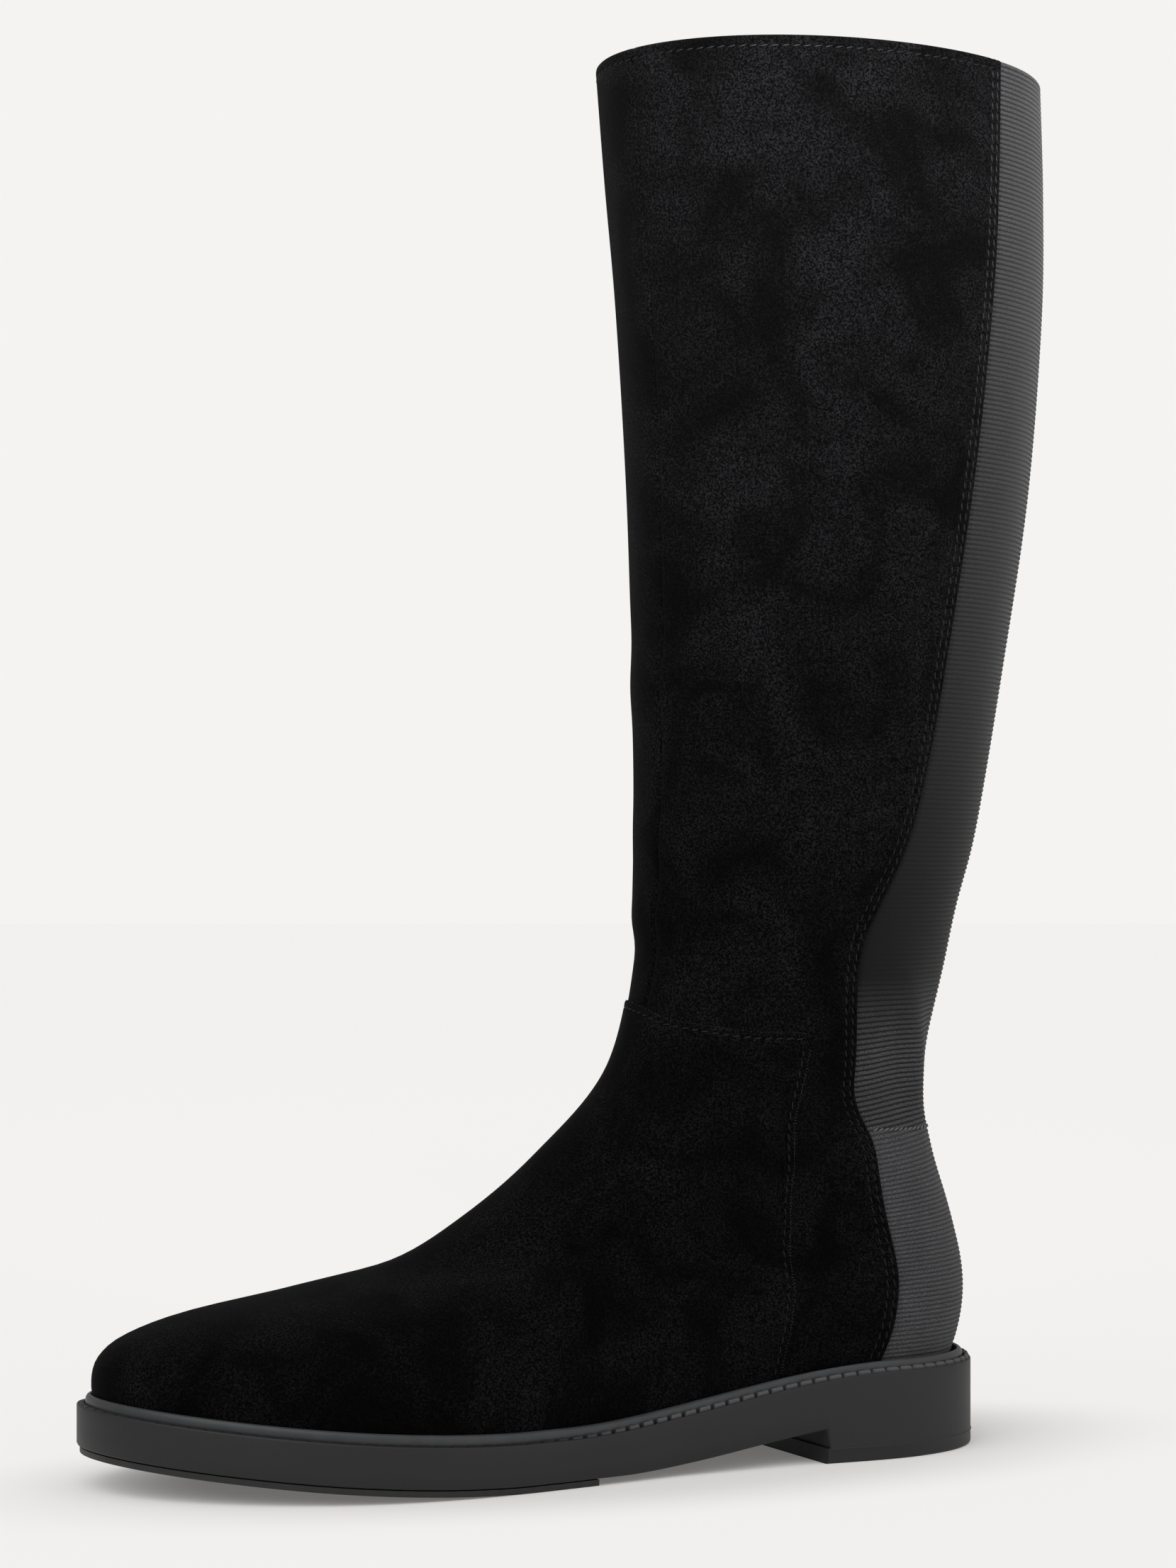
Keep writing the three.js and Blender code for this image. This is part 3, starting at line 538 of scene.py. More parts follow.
def piece(name, bm, material, replaces=(), body="boot", wall=0.0, sharp=40):
    """A finished piece: its mesh with smooth shading, its material, and the body it rides on"""
    mesh = bpy.data.meshes.new(name)
    bm.to_mesh(mesh)
    bm.free()
    mesh.materials.append(material)
    mesh.polygons.foreach_set("use_smooth", [True] * len(mesh.polygons))
    mesh.set_sharp_from_angle(angle=math.radians(sharp))
    made = shown(mesh)
    if wall:
        solid = made.modifiers.new("wall", "SOLIDIFY")
        solid.thickness = wall * MM
        solid.offset = -1
    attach(made, body)
    if replaces:
        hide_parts(*replaces)


WALL = 2.2
LINING = 0.6
SLOT_HALF = 5.5
CLOSED_HALF = 0.15
SLOT_END = 0.7
SLOT_WHOLE = 1.5


def slot_half(section):
    """Half the zip's slot: below its end the two edges of suede meet"""
    return CLOSED_HALF + (SLOT_HALF - CLOSED_HALF) * ease(section, SLOT_END, SLOT_WHOLE)


zip_front = beside(zip_line, lambda section: -slot_half(section))
zip_back = beside(zip_line, slot_half)
LINING_FOOT = 0.05
LINING_SHORT = 2.5
LINING_ROWS = 90
lining_rows = sections_along(gore_lateral, LINING_FOOT, COLLAR, PLAIN, [(LINING_SHORT, 0)], LINING_ROWS)
for name, left, right, count in (("lining_front", gore_lateral, zip_front, 90),
                                 ("lining_back", zip_back, gore_medial, 12)):
    bm = draped(left, right, lining_rows, LINING - WALL, count=count)
    piece(name, bm, lining_leather, wall=LINING)

# Shaft. Three suede panels: the outer one from the gore to the seam down the front, the
# inner one from that seam to the zip, and a narrow one between zip and gore. Edges are
# turned under, and those at the gore and zip are sewn down with two rows of thread. Each
# edge is a list of distances from the edge and how far the face lies below the leg's there,
# in mm, with a small dent at each row of thread.
BACK_EDGE = [(0, -1.0), (0.15, -0.55), (0.5, -0.15), (1.0, 0), (1.5, 0), (2.0, -0.3), (2.5, 0), (3.6, 0.05),
             (4.2, -0.3), (4.8, 0), (6.0, 0)]
ZIP_EDGE = [(0, -1.0), (0.15, -0.55), (0.5, -0.15), (1.0, 0), (1.6, -0.3), (2.2, 0), (3.0, 0), (3.6, -0.3),
            (4.2, 0), (5.4, 0)]
FRONT_EDGE = [(0, -0.8), (0.25, -0.4), (0.7, -0.12), (1.4, 0), (2.4, 0)]
RIM = [(0, -1.0), (0.15, -0.5), (0.5, -0.12), (1.0, 0), (2.6, 0), (3.2, -0.25), (3.8, 0)]
FRONT_SEAM = named_columns("section turn", [
    (8, 175), (10, 172), (11, 169), (13, 168), (15, 168), (17, 167)])


def front_seam(section):
    return np.radians(smooth(FRONT_SEAM, "section", "turn", section))


# Microsuede brushed to a short nap: almost black, matt, with a fine speckle where the nap
# catches light, brush marks a few centimetres across and a faint sheen at grazing angles
NAP = 0.6
NAP_DEPTH = 0.18
BRUSHED = 24
suede, tree, shader = new_material(
    "brushed microsuede", Roughness=0.95, Specular_IOR_Level=0.04, Sheen_Weight=0.035,
    Sheen_Roughness=0.4, Sheen_Tint=linear("#8c8c90"))
place = place_of(tree)
speckle = noise(tree, place, NAP, 3, Roughness=0.65)
brush = noise(tree, place, BRUSHED, 4, Distortion=0.8)
caught = carried(tree, speckle, 0.44, 0.68)
marks = carried(tree, brush, 0.35, 0.68, 0.2, 1.35)
colour = between(tree, reckoned(tree, "MULTIPLY", caught, marks), "#010101", "#171719")
tree.links.new(colour, shader.inputs["Base Color"])
add_bump(tree, shader, speckle, 0.5, NAP_DEPTH)

SUEDE_WALL = 0.8
panels = (
    ("shaft_outer", gore_lateral, front_seam, BACK_EDGE, FRONT_EDGE, 76),
    ("shaft_inner", front_seam, zip_front, FRONT_EDGE, ZIP_EDGE, 50),
    ("shaft_back", zip_back, gore_medial, ZIP_EDGE, BACK_EDGE, 6),
)
SHAFT_ROWS = 150
shaft_rows = sections_along(gore_lateral, 0, COLLAR, PLAIN, RIM, SHAFT_ROWS)
rim_drops = drops(PLAIN, RIM, SHAFT_ROWS)
for name, left, right, start, end, count in panels:
    bm = draped(left, right, shaft_rows, 0, start, end, count, rim_drops)
    piece(name, bm, suede, ["upper"] if name == "shaft_outer" else (), wall=SUEDE_WALL)

# Vamp. One piece of the same suede over the forefoot, lapped on the shaft and sewn down
# along its top and its outer side.
VAMP_RISE = 0.9
VAMP_SIDE = named_columns("section turn", [
    (0, 64), (1.15, 64), (2.6, 64), (4.0, 65.9), (6.1, 75.9), (7.3, 81.2), (8.4, 91.9), (9.1, 98.5),
    (9.4, 99.8)])
VAMP_TOP = named_columns("turn section", [
    (99, 9.28), (103, 9.32), (119, 9.35), (141, 9.43), (160, 9.50), (172, 9.57), (186, 9.61), (202, 9.62),
    (217, 9.58), (231, 9.51), (252, 9.41), (275, 9.36)])
VAMP_EDGE = [(0, -0.95), (0.12, -0.45), (0.4, -0.1), (0.9, 0), (1.5, 0), (2.0, -0.28), (2.5, 0), (4.0, 0)]
LAST_ROW = 9.6
VAMP_ROWS = 56


def vamp_side(section):
    return np.radians(smooth(VAMP_SIDE, "section", "turn", section))


def vamp_top(turn):
    """Section of the throat seam at a turn, as a share of the last row's"""
    return smooth(VAMP_TOP, "turn", "section", np.degrees(turn)) / LAST_ROW


vamp_rows = sections_along(vamp_side, 0, LAST_ROW, PLAIN, VAMP_EDGE, VAMP_ROWS)
bm = draped(vamp_side, zip_front, vamp_rows, VAMP_RISE, VAMP_EDGE, ZIP_EDGE, 100,
            drops(PLAIN, VAMP_EDGE, VAMP_ROWS), vamp_top)
piece("vamp", bm, suede, wall=SUEDE_WALL)

# Thread. Black polyester, laid in short slanted stitches that sit a little in the nap. Rows
# run beside the gore, beside the zip, along the vamp's two edges and under the collar.
STITCH_PITCH = 3.1
STITCH_LENGTH = 2.3
STITCH_WIDTH = 0.55
STITCH_FLATNESS = 0.8
STITCH_SUNK = 0.12
STITCH_SLANT = 12
SEAM_ROWS = (2.0, 4.2)
ZIP_SEAM_ROWS = (1.6, 3.6)
bm = bmesh.new()
bmesh.ops.create_uvsphere(bm, u_segments=6, v_segments=5, radius=0.5)
bmesh.ops.rotate(bm, verts=bm.verts, cent=(0, 0, 0), matrix=Matrix.Rotation(math.radians(90), 3, "Y"))
stitch_mesh = bpy.data.meshes.new("stitch")
bm.to_mesh(stitch_mesh)
bm.free()


PATH_POINTS = 1500


def repeated(shape, matrices):
    """One mesh joined from copies of a small shape"""
    bm = bmesh.new()
    for matrix in matrices:
        copy = shape.copy()
        copy.transform(matrix)
        bm.from_mesh(copy)
        bpy.data.meshes.remove(copy)
    return bm


def seats(section, turn, out, pitch, shift=0.0):
    """Frames at even steps along a path on the leg: X along it, Z out of the leg"""
    fine = np.linspace(0, 1, PATH_POINTS)
    section = np.interp(fine, np.linspace(0, 1, len(section)), section)
    turn = np.interp(fine, np.linspace(0, 1, len(turn)), turn)
    points = on_leg(section, turn, out)
    run = lengths(points) / MM
    where = np.arange(pitch / 2 + shift, run[-1] - pitch / 4, pitch)
    at = np.stack([np.interp(where, run, points[:, k]) for k in range(3)], -1)
    step = pitch / 8
    before, after = [np.stack([np.interp(d, run, points[:, k]) for k in range(3)], -1)
                     for d in (where - step, where + step)]
    level = np.interp(where, run, section)
    around = np.interp(where, run, turn)
    x = unit(after - before)
    z = leg_normal(np.clip(level, 0, COLLAR), around)
    y = unit(np.cross(z, x))
    z = np.cross(x, y)
    made = np.tile(np.eye(4), (len(at), 1, 1))
    made[:, :3] = np.stack([x, y, z, at], -1)
    return [Matrix(m.tolist()) for m in made]


def sewn(paths, out, pitch=STITCH_PITCH, length=STITCH_LENGTH, width=STITCH_WIDTH,
         slant=STITCH_SLANT):
    """Stitches along several paths, each a row of sections and a row of turns"""
    size = Matrix.Rotation(math.radians(slant), 4, "Z") @ Matrix.Diagonal(
        (length * MM, width * MM, STITCH_FLATNESS * width * MM, 1))
    return repeated(stitch_mesh, [m @ size for path in paths for m in seats(*path, out, pitch)])


def lowered(section, turn, distance):
    """Section that lies a distance in mm below another at a turn"""
    step = 2 * STEP
    rate = np.linalg.norm(leg_point(section, turn) - leg_point(section - step, turn), axis=-1) / step
    return section - distance / rate


SEAM_START = 0.4
ZIP_SEAM_START = 0.6
SEAM_TOP = COLLAR - 0.04
SEAM_POINTS = 400


def up_line(line, low=SEAM_START):
    """Path up the leg along a line"""
    section = np.linspace(low, SEAM_TOP, SEAM_POINTS)
    return section, line(section)


THREAD_TWIST = 0.7
thread, tree, shader = new_material("polyester thread", Roughness=0.6, Specular_IOR_Level=0.2)
colour = between(tree, noise(tree, place_of(tree), THREAD_TWIST, 1), "#030303", "#111112")
tree.links.new(colour, shader.inputs["Base Color"])

gore_rows_sewn = [up_line(beside(gore_lateral, d)) for d in SEAM_ROWS]
gore_rows_sewn += [up_line(beside(gore_medial, -d)) for d in SEAM_ROWS]
piece("gore_stitches", sewn(gore_rows_sewn, -STITCH_SUNK), thread)
zip_rows_sewn = [up_line(beside(line, side * d), ZIP_SEAM_START)
                 for line, side in ((zip_front, -1), (zip_back, 1)) for d in ZIP_SEAM_ROWS]
piece("zip_stitches", sewn(zip_rows_sewn, -STITCH_SUNK), thread)
RIM_SEAM = 3.2
RIM_SEAM_SHORT = 0.06
RIM_SEAM_POINTS = 200
RIM_STITCH_SUNK = 0.1
collar_paths = []
for left, right in ((gore_lateral, zip_front), (zip_back, gore_medial)):
    turn = np.linspace(left(COLLAR) + RIM_SEAM_SHORT, right(COLLAR) - RIM_SEAM_SHORT, RIM_SEAM_POINTS)
    rim = np.full(RIM_SEAM_POINTS, float(COLLAR))
    collar_paths.append((lowered(rim, turn, RIM_SEAM), turn))
piece("collar_stitches", sewn(collar_paths, -RIM_STITCH_SUNK), thread)
VAMP_SEAM = 2.0
VAMP_CORNER = 9.2
VAMP_AT_ZIP = 9.4
VAMP_SIDE_FOOT = 0.5
VAMP_SIDE_TOP = 9.15
VAMP_POINTS = 300
VAMP_STITCH_SUNK = 0.15
VAMP_SHORT_AT_CORNER = 0.05
VAMP_SHORT_AT_ZIP = 0.02
first_turn = vamp_side(VAMP_CORNER) + VAMP_SHORT_AT_CORNER
top_turn = np.linspace(first_turn, zip_front(VAMP_AT_ZIP) - VAMP_SHORT_AT_ZIP, VAMP_POINTS)
side_section = np.linspace(VAMP_SIDE_FOOT, VAMP_SIDE_TOP, VAMP_POINTS)
vamp_paths = [(lowered(LAST_ROW * vamp_top(top_turn), top_turn, VAMP_SEAM), top_turn),
              (side_section, beside(vamp_side, VAMP_SEAM)(side_section))]
piece("vamp_stitches", sewn(vamp_paths, VAMP_RISE - VAMP_STITCH_SUNK), thread)

# Raised nap. Where the vamp was cut, short grey fibres of the suede stand up along its edge.
FIBRE_PITCH = 0.9
FIBRE_LENGTH = (0.5, 1.5)
FIBRE_WIDTH = 0.09
FIBRE_TILT = 0.5
FIBRE_SUNK = 0.35
FIBRE_BELOW = 0.01
FIBRE_SEED = 7
rng = np.random.default_rng(FIBRE_SEED)
fibres = []
vamp_edges = ((LAST_ROW * vamp_top(top_turn) - FIBRE_BELOW, top_turn),
              (side_section, vamp_side(side_section)))
for section, turn in vamp_edges:
    for m in seats(section, turn, VAMP_RISE - FIBRE_SUNK, FIBRE_PITCH):
        length = rng.uniform(*FIBRE_LENGTH) * MM
        swing = Matrix.Rotation(rng.uniform(0, math.pi), 4, "Z")
        tilt = Matrix.Rotation(rng.uniform(-FIBRE_TILT, FIBRE_TILT), 4, "Y")
        size = Matrix.Diagonal((length, FIBRE_WIDTH * MM, FIBRE_WIDTH * MM, 1))
        fibres.append(m @ (swing @ tilt) @ size)
nap_fibre = new_material("suede fibre", Roughness=0.9, Base_Color=linear("#39393b"))[0]
piece("nap_fibres", repeated(stitch_mesh, fibres), nap_fibre)

# Gore. One strip of woven elastic from the collar to the sole, under the suede's edges. Its
# cords lie side by side across the leg, and a row of thread crosses it above the heel. The
# shape of a rib is how far the face lies below its crest at even steps across it.
RIB = 1.42
RIB_SHAPE = [-0.36, -0.08, 0.0, -0.08]
GORE_SINK = 0.9
UNDER = 2.0
HEEL_SEAM = 95


def centre_back(section):
    return 0.0 * np.asarray(section)


def gore_left(section):
    return gore_medial(section) - 2 * math.pi


back_length = lengths(leg_point(np.linspace(0, COLLAR, FINE), 0.0))[-1]
rib_steps = len(RIB_SHAPE) * int(back_length / RIB)
gore_rows = sections_along(centre_back, 0, COLLAR, PLAIN, PLAIN, rib_steps)
bm = draped(beside(gore_left, -UNDER), beside(gore_lateral, UNDER), gore_rows,
            -GORE_SINK, count=26, row_drops=np.resize(RIB_SHAPE, len(gore_rows)))

# Polyester yarn over rubber cords: charcoal with a fine light fleck, painted shade black between
# the ribs, painted light and shade up the leg, darkest just above the ankle, lighter towards the
# collar and with a painted highlight over the ankle, and closer and more even over the stiff heel
FLECK = 0.5
SEAM_BLUR = 1.5
# Heights in mm over which the painted light grows towards the collar, and over which the painted highlight
# over the ankle grows downwards
PAINTED_LIGHT_FROM = 160
PAINTED_LIGHT_TO = 410
ANKLE_HIGHLIGHT_FROM = 140
ANKLE_HIGHLIGHT_TO = 118
WORN = 9
elastic, tree, shader = new_material("woven elastic", Roughness=0.85, Specular_IOR_Level=0.15,
                                     Sheen_Weight=0.08, Sheen_Roughness=0.5)
place = place_of(tree)
height = node(tree, "SeparateXYZ", {0: place}).outputs["Z"]
yarn = noise(tree, place_of(tree, "UV"), FLECK, 1)
over_heel = carried(tree, height, (HEEL_SEAM + SEAM_BLUR) * MM, (HEEL_SEAM - SEAM_BLUR) * MM)

# How black the grooves are: painted shade between the ribs, less over the heel
sunk = node(tree, "Attribute", {}, attribute_name="hollow").outputs["Fac"]
groove = carried(tree, reckoned(tree, "MULTIPLY_ADD", yarn, -0.22, sunk), -0.06, 0.1)
depth = carried(tree, over_heel, first=0.94, last=0.45)
painted_groove_shade = reckoned(tree, "MULTIPLY", groove, depth)

# How light the yarn is: lighter over the heel cloth, and painted light and shade by height
painted_light_up = carried(tree, height, PAINTED_LIGHT_FROM * MM, PAINTED_LIGHT_TO * MM, 0.02, 1.0)
painted_ankle_highlight = carried(tree, height, ANKLE_HIGHLIGHT_FROM * MM, ANKLE_HIGHLIGHT_TO * MM, 0.0, 1.25)
heel_cloth_and_ankle_highlight = reckoned(tree, "MULTIPLY_ADD", over_heel, 0.5, painted_ankle_highlight)
worn = carried(tree, noise(tree, place, WORN, 3), first=0.7, last=1.3)
tone = reckoned(tree, "MULTIPLY", worn, reckoned(tree, "ADD", heel_cloth_and_ankle_highlight, painted_light_up))
flecked = reckoned(tree, "MULTIPLY", tone, carried(tree, yarn, 0.3, 0.7, 0.45, 1.55))
colour = between(tree, painted_groove_shade, scaled(tree, "#2f2f31", flecked), "#040404")
tree.links.new(colour, shader.inputs["Base Color"])
add_bump(tree, shader, yarn, 0.4, 0.15)
piece("elastic_strip", bm, elastic, ["elastic_gore"], wall=2 * GAP)

HEEL_STITCH_PITCH = 2.2
HEEL_STITCH_PROUD = 0.15
HEEL_SEAM_SECTION = 7.6
HEEL_SEAM_POINTS = 200
HEEL_SEAM_BETWEEN = (4, 10)
HEEL_STITCH = {"length": 1.9, "width": 0.45, "slant": 25}
heel_turn = np.linspace(gore_left(HEEL_SEAM_SECTION), gore_lateral(HEEL_SEAM_SECTION), HEEL_SEAM_POINTS)
near_seam = np.linspace(*HEEL_SEAM_BETWEEN, SEAM_POINTS)
heel_row = [float(np.interp(HEEL_SEAM, leg_point(near_seam, t)[:, 2], near_seam)) for t in heel_turn]
pale_thread = new_material("grey thread", Roughness=0.6, Base_Color=linear("#5a5a5c"))[0]
heel_out = -GORE_SINK + HEEL_STITCH_PROUD
bm = sewn([(np.array(heel_row), heel_turn)], heel_out, HEEL_STITCH_PITCH, **HEEL_STITCH)
piece("heel_stitches", bm, pale_thread)

# Zip. Black woven tape behind the slot, with a nylon coil sewn along each of its two edges.
# The loops of one side lie between those of the other.
TAPE_FACE = -1.4
COIL_PITCH = 1.6
COIL_WIRE = 0.41
COIL_MIDDLE = 1.3
COIL_OUT = -0.2
CHAIN_START = 1.08
CHAIN_POINTS = 900
TAPE_END = 0.62
TAPE_SHORT = 0.6
TAPE_ROWS = 180
TAPE_WALL = 0.6
TAPE_WEAVE = 1.2
TAPE_TUCK = 0.8
webbing, tree, shader = new_material("woven tape", Roughness=0.9, Specular_IOR_Level=0.12,
                                     Base_Color=linear("#080809"))
add_bump(tree, shader, waves(tree, place_of(tree, "UV"), TAPE_WEAVE, "DIAGONAL"), 0.6, 0.15)
tape_rows = sections_along(zip_line, TAPE_END, COLLAR, PLAIN, [(TAPE_SHORT, 0)], TAPE_ROWS)
tape_half = SLOT_HALF + TAPE_TUCK
bm = draped(beside(zip_line, -tape_half), beside(zip_line, tape_half), tape_rows, TAPE_FACE, count=12)
piece("zip_webbing", bm, webbing, ["zip_tape"], wall=TAPE_WALL)

LOOP_RADIUS = 1.15
LOOP_STRETCH = (1.22, 0.62, 1.0)
LOOP_LEAN = 9
bm = bmesh.new()
upright = Matrix.Rotation(math.radians(90), 4, "X")
bmesh.ops.create_circle(bm, segments=6, radius=COIL_WIRE,
                        matrix=Matrix.Translation((LOOP_RADIUS, 0, 0)) @ upright)
bmesh.ops.spin(bm, geom=bm.verts[:] + bm.edges[:], cent=(0, 0, 0), axis=(0, 0, 1),
               angle=2 * math.pi, steps=14, use_merge=True)
bmesh.ops.scale(bm, verts=bm.verts, vec=LOOP_STRETCH)
bmesh.ops.recalc_face_normals(bm, faces=bm.faces)
coil_loop = bpy.data.meshes.new("coil_loop")
bm.to_mesh(coil_loop)
bm.free()
zip_sections = np.linspace(CHAIN_START, COLLAR, CHAIN_POINTS)
zip_heights = leg_point(zip_sections, zip_line(zip_sections))[:, 2]
chain_top = float(np.interp(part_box("zip_chain")[1].z / MM, zip_heights, zip_sections))
chain = np.linspace(CHAIN_START, chain_top, FINE)
on_edge = Matrix.Rotation(math.radians(90), 4, "Z") @ upright
loops = []
for side in (-1, 1):
    shift = 0.0 if side < 0 else COIL_PITCH / 2
    lean = Matrix.Rotation(math.radians(LOOP_LEAN * side), 4, "Z")
    lay = Matrix.Translation((0, -side * COIL_MIDDLE * MM, 0)) @ lean @ on_edge @ Matrix.Scale(MM, 4)
    loops += [m @ lay for m in seats(chain, zip_line(chain), COIL_OUT, COIL_PITCH, shift)]
NYLON_SCUFF = 1.5
nylon, tree, shader = new_material("moulded nylon", Specular_IOR_Level=0.7, Base_Color=linear("#0c0c0d"))
gloss = carried(tree, noise(tree, place_of(tree), NYLON_SCUFF, 2), first=0.12, last=0.28)
tree.links.new(gloss, shader.inputs["Roughness"])
piece("zip_coils", repeated(coil_loop, loops), nylon, ["zip_chain"])

SAME_CORNER = 0.01
FLAT_ANGLE = 4
SHARP_ANGLE = 25


def from_cad(name, round_off):
    """A copy of a frame node with its points merged and its sharp edges rounded"""
    bm = bmesh.new()
    bm.from_mesh(frame["nodes"][name].data)
    bmesh.ops.remove_doubles(bm, verts=bm.verts, dist=SAME_CORNER * MM)
    bmesh.ops.dissolve_limit(bm, angle_limit=math.radians(FLAT_ANGLE), verts=bm.verts, edges=bm.edges)
    sharp = math.radians(SHARP_ANGLE)
    edges = [e for e in bm.edges if len(e.link_faces) == 2 and e.calc_face_angle() > sharp]
    bmesh.ops.bevel(bm, geom=edges, offset=round_off * MM, affect="EDGES", segments=3, profile=0.5,
                    material=-1, clamp_overlap=True)
    return bm


# Slider and pull. Zinc castings, the slider lacquered black over nickel and the pull plated
# in polished nickel. The bar of the pull is plain and bare, with one fine line cut across it
# below the loop.
LINE_AT = 12.4
LINE_HALF = 0.16
LINE_DEPTH = 0.12
METAL_SCUFF = 3
SLIDER_EDGE = 0.45
PULL_EDGE = 0.22
SLIDER_SECTION = COLLAR - 0.3


def plated(name, colour, low, high):
    """A polished metal whose roughness goes from low to high"""
    material, tree, shader = new_material(name, Base_Color=linear(colour), Metallic=1.0)
    gloss = carried(tree, noise(tree, place_of(tree), METAL_SCUFF, 4), first=low, last=high)
    tree.links.new(gloss, shader.inputs["Roughness"])
    return material


black_lacquer = plated("black lacquered nickel", "#3c3c3f", 0.08, 0.2)
nickel = plated("polished nickel", "#a3a5a9", 0.07, 0.18)
piece("slider", from_cad("zip_slider", SLIDER_EDGE), black_lacquer, ["zip_slider"])

joint = frame["record"]["behaviour"]["joints"][0]
hinge = Vector(joint["pos_m"])
zip_top = np.array([SLIDER_SECTION])
face_out = Vector(leg_normal(zip_top, zip_line(zip_top))[0])
rise = Vector(joint["axis"]).cross(face_out).normalized()
bm = from_cad("zip_pull", PULL_EDGE)
for shift in (-LINE_HALF, 0, LINE_HALF):
    bmesh.ops.bisect_plane(bm, geom=bm.verts[:] + bm.edges[:] + bm.faces[:], dist=1e-7,
                           plane_co=hinge - rise * (LINE_AT + shift) * MM, plane_no=rise)
cut = [v for v in bm.verts if abs((v.co - hinge).dot(rise) + LINE_AT * MM) < LINE_HALF / 8 * MM]
centre = sum(v.co.dot(face_out) for v in cut) / len(cut)
for v in cut:
    over = v.co.dot(face_out) - centre
    v.co -= face_out * math.copysign(LINE_DEPTH * MM, over)
piece("pull", bm, nickel, ["zip_pull"], body="zip_pull")

# Sole unit. Rubber moulded in one with the heel: plain satin sides, a lip round the top and
# inside it a groove with moulded stitches, raised from the waist back and, at the forepart,
# no more than small pits.
MOULD_PITCH = 4.8
PIT_DEPTH = 0.75
PIT_HALF = 0.32
PIT_WIDER = 0.2
# Painted highlight on the tops of the moulded stitches, as a share
STITCH_TOP_HIGHLIGHT = 0.8
STITCHES_FADE_FROM = 0.42
STITCHES_FADE_TO = 0.62
LEDGE = 2.6


def sole_turn(d):
    return math.acos(1 - 2 * d / SOLE_LENGTH)


def sole_edge(turn, inset, side):
    """Outline of the sole on one side, moved in by an inset, in mm from the heel end"""
    s = 0.5 - 0.5 * np.cos(turn)
    full = smooth(PLAN, "along", "fullness", s) * BALL_WIDTH - inset
    half = 2 * np.sqrt(np.maximum(s * (1 - s), 0)) * full
    middle = smooth(PLAN, "along", "centre", s) * BALL_WIDTH
    return -(inset + s * (SOLE_LENGTH - 2 * inset)), middle + side * half


SKIN = 8
EDGE_POINTS = 4000
SAME_POINT = 0.001


def sole_layer(start, end, spacing, profile):
    """A closed layer of the sole between two distances from the heel end. profile lists, from
    the bottom up, each line's inset, a number or one for each distance, and its height at a
    distance and a length round the edge."""
    fine = np.linspace(sole_turn(start), sole_turn(end), EDGE_POINTS)
    run = lengths(np.stack(sole_edge(fine, 0, -1), -1))
    arc = np.linspace(0, run[-1], max(int(run[-1] / spacing), 2) + 1)
    turn = np.interp(arc, run, fine)
    sides = {}
    for side in (-1, 1):
        lines = []
        for inset, height in profile:
            if callable(inset):
                inset = inset(SOLE_LENGTH * (0.5 - 0.5 * np.cos(turn)))
            x, y = sole_edge(turn, inset, side)
            z, pit = height(-x, arc)
            lines.append(np.stack([x, y, z * np.ones_like(x), pit * np.ones_like(x)], -1))
        sides[side] = lines
    shares = np.linspace(0, 1, SKIN + 1)[1:-1]
    across = [sides[-1][-1] + (sides[1][-1] - sides[-1][-1]) * t for t in shares]
    under = [sides[1][0] + (sides[-1][0] - sides[1][0]) * t for t in shares]
    ring = sides[-1] + across + sides[1][::-1] + under
    points = np.stack(ring + ring[:1], 1)
    bm = bmesh.new()
    hollow = bm.verts.layers.float.new("hollow")
    stations_count, columns_count = points.shape[:2]
    bmesh.ops.create_grid(bm, x_segments=columns_count - 1, y_segments=stations_count - 1, size=0.5)
    for v in bm.verts:
        i = round((v.co.x + 0.5) * (columns_count - 1))
        j = round((v.co.y + 0.5) * (stations_count - 1))
        x, y, z, pit = points[j, i]
        v.co = Vector((x + HEEL_END, y + MIDLINE, z)) * MM
        v[hollow] = pit
    bmesh.ops.remove_doubles(bm, verts=bm.verts, dist=SAME_POINT * MM)
    bmesh.ops.holes_fill(bm, edges=[e for e in bm.edges if e.is_boundary], sides=0)
    bmesh.ops.recalc_face_normals(bm, faces=bm.faces)
    return bm


def level_of(base, up):
    return lambda d, arc: (base(d) + up, 0.0)


def wall_at(share):
    return lambda d, arc: (underside(d) + (ledge_height(d) - underside(d)) * share, 0.0)


def behind_waist(d):
    return 1 - ease(d / SOLE_LENGTH, STITCHES_FADE_FROM, STITCHES_FADE_TO)


def stitched(high, low):
    """Height along the ledge and a colour mask: moulded stitches stand on it from the waist
    back and a pit parts each two; the mask is 1 for painted shade in the pits and below 0 for a painted
    highlight on the stitches' tops"""
    def height(d, arc):
        from_pit = ((arc / MOULD_PITCH) % 1 - 0.5) * MOULD_PITCH
        back = behind_waist(d)
        pit = np.exp(-(from_pit / (PIT_HALF + PIT_WIDER * back)) ** 4)
        body = low + (high - low) * back
        up = ledge_height(d) + body * (1 - pit) - PIT_DEPTH * pit
        return up, pit - STITCH_TOP_HIGHLIGHT * back * (1 - pit)
    return height


def past_heel(inset):
    return lambda d: np.where(d > HEEL_LENGTH, inset, 0.0)


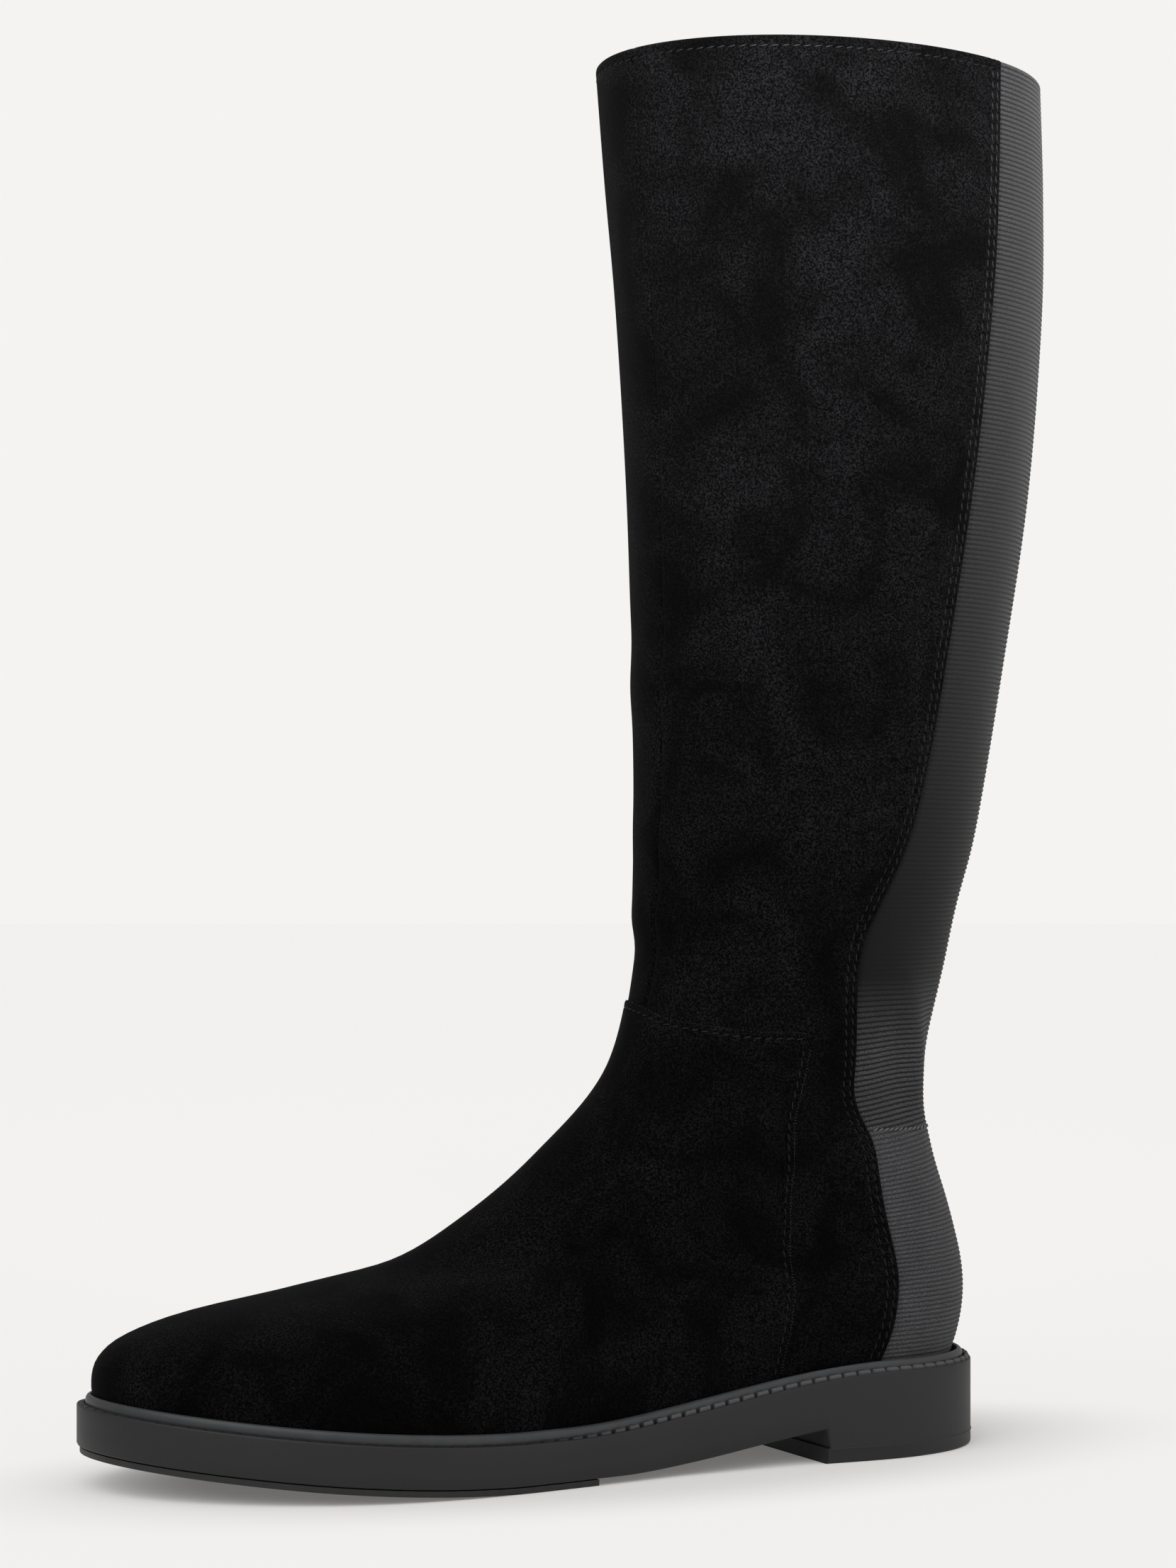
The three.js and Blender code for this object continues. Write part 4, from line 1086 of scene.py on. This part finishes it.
# Inset and height of each line round the sole, from the bottom up
SOLE_SPACING = 0.6
LAYER_SPACING = 1.5
sole_profile = [
    (past_heel(0.9), level_of(underside, 0)), (past_heel(0.3), level_of(underside, 0.15)),
    (0, level_of(underside, 0.7)), (0, wall_at(0.35)), (0, wall_at(0.65)),
    (0, level_of(ledge_height, -0.6)),
    (0.1, level_of(ledge_height, -0.2)), (0.3, level_of(ledge_height, 0)), (0.5, level_of(ledge_height, 0)),
    (0.7, stitched(0.75, 0.05)), (1.0, stitched(1.15, 0.2)), (1.5, stitched(1.15, 0.3)),
    (1.9, stitched(0.7, 0.3)), (2.2, level_of(ledge_height, -0.3)), (3.2, level_of(ledge_height, 0)),
]
RUBBER_SPECK = 0.8
RUBBER_CLOUD = 25
rubber, tree, shader = new_material("moulded rubber", Roughness=0.55, Specular_IOR_Level=0.35)
place = place_of(tree)
speck = noise(tree, place, RUBBER_SPECK, 3)
tone = reckoned(tree, "MULTIPLY", speck, noise(tree, place, RUBBER_CLOUD, 2))
# Painted shade, near black, in the pits, and a painted highlight, light grey, on the tops of the moulded
# stitches
pits = node(tree, "Attribute", {}, attribute_name="hollow").outputs["Fac"]
raised = carried(tree, pits, 0.0, -1.0)
painted_stitch_tops = between(tree, raised, between(tree, tone, "#171718", "#222223"), "#4a4b4d")
tree.links.new(between(tree, pits, painted_stitch_tops, "#020202"), shader.inputs["Base Color"])
add_bump(tree, shader, speck, 0.25, 0.06)
bm = sole_layer(0, SOLE_LENGTH, SOLE_SPACING, sole_profile)
piece("sole_unit", bm, rubber, ["outsole"], sharp=50)

# Heel top piece. The lift that wears, of the same rubber. A hair of flash stands out where
# the mould closed, and draws a fine line round the heel.
PROUD = 0.22
TOP_PIECE_LAP = 0.6


def height_of(z):
    return lambda d, arc: (z, 0.0)


top_profile = [
    (0.9, height_of(0)), (0.4, height_of(0.1)), (0.1, height_of(0.4)), (0, height_of(1.0)),
    (0, height_of(TOP_PIECE - 0.5)), (-PROUD, height_of(TOP_PIECE - 0.25)), (0.0, height_of(TOP_PIECE))]
bm = sole_layer(0, HEEL_LENGTH + TOP_PIECE_LAP, LAYER_SPACING, top_profile)
piece("top_piece", bm, rubber, ["heel_top_piece"])

# Tread. A thin layer of harder black rubber under the forepart, set in from the side.
tread_profile = [(1.0, level_of(toe_spring, 0)), (0.85, level_of(toe_spring, 0.2)),
                 (0.85, level_of(toe_spring, TREAD - GAP))]
TREAD_START = 0.515
TREAD_RIB = 2.5
tread_rubber, tree, shader = new_material("hard black rubber", Roughness=0.6, Base_Color=linear("#141414"))
add_bump(tree, shader, waves(tree, place_of(tree), TREAD_RIB, "X"), 0.8, 0.5)
bm = sole_layer(TREAD_START * SOLE_LENGTH, SOLE_LENGTH, LAYER_SPACING, tread_profile)
piece("tread", bm, tread_rubber, ["forepart_tread"])

# Welt. A smooth rounded rubber bead that closes the joint between upper and sole. It goes
# as far out as the ledge leaves room for, and over the vamp where that laps the shaft.
BEAD = named_columns("out up", [
    (0.95, -0.5), (1.0, 0.4), (0.97, 1.2), (0.86, 1.9), (0.66, 2.45), (0.4, 2.8), (0.12, 2.9), (-0.1, 2.7),
    (-0.2, 1.6), (-0.2, -0.5)])
BEAD_SECTION = 0.52
BEAD_POINTS = 481
BEAD_LAP = 0.3
VAMP_LAP_FROM = 0.16
VAMP_LAP_TO = 0.24
round_turns = np.linspace(0, 2 * math.pi, BEAD_POINTS)
section = np.full(BEAD_POINTS, BEAD_SECTION)
foot_line = leg_point(section, round_turns)
foot_normal = leg_normal(section, round_turns)
lap = VAMP_RISE * ease(-foot_line[:, 0] / SOLE_LENGTH, VAMP_LAP_FROM, VAMP_LAP_TO)
face_line = foot_line + foot_normal * (lap + GAP)[:, None]
half_turn = np.linspace(0, math.pi, FINE)
outline = np.concatenate([np.stack(sole_edge(half_turn, 0, side), -1) for side in (-1, 1)])
room = np.array([np.min(np.linalg.norm(outline - p[:2], axis=1)) for p in face_line]) - LEDGE + BEAD_LAP
bm = bmesh.new()
bmesh.ops.create_grid(bm, x_segments=BEAD_POINTS - 1, y_segments=len(BEAD["out"]), size=0.5)
lines = []
for out, up in zip(np.r_[BEAD["out"], BEAD["out"][0]], np.r_[BEAD["up"], BEAD["up"][0]]):
    line = face_line + foot_normal * (out * room)[:, None]
    line[:, 2] = ledge_height(-line[:, 0]) + up
    lines.append(line + (HEEL_END, MIDLINE, 0))
for v in bm.verts:
    i = round((v.co.x + 0.5) * (BEAD_POINTS - 1))
    j = round((v.co.y + 0.5) * len(BEAD["out"]))
    v.co = Vector(lines[j][i]) * MM
bmesh.ops.remove_doubles(bm, verts=bm.verts, dist=SAME_POINT * MM)
bmesh.ops.recalc_face_normals(bm, faces=bm.faces)
BEAD_CLOUD = 6
bead_rubber, tree, shader = new_material("smooth rubber", Roughness=0.45, Specular_IOR_Level=0.4)
colour = between(tree, noise(tree, place_of(tree), BEAD_CLOUD, 4), "#26282a", "#36383a")
tree.links.new(colour, shader.inputs["Base Color"])
piece("welt_bead", bm, bead_rubber, ["welt"])
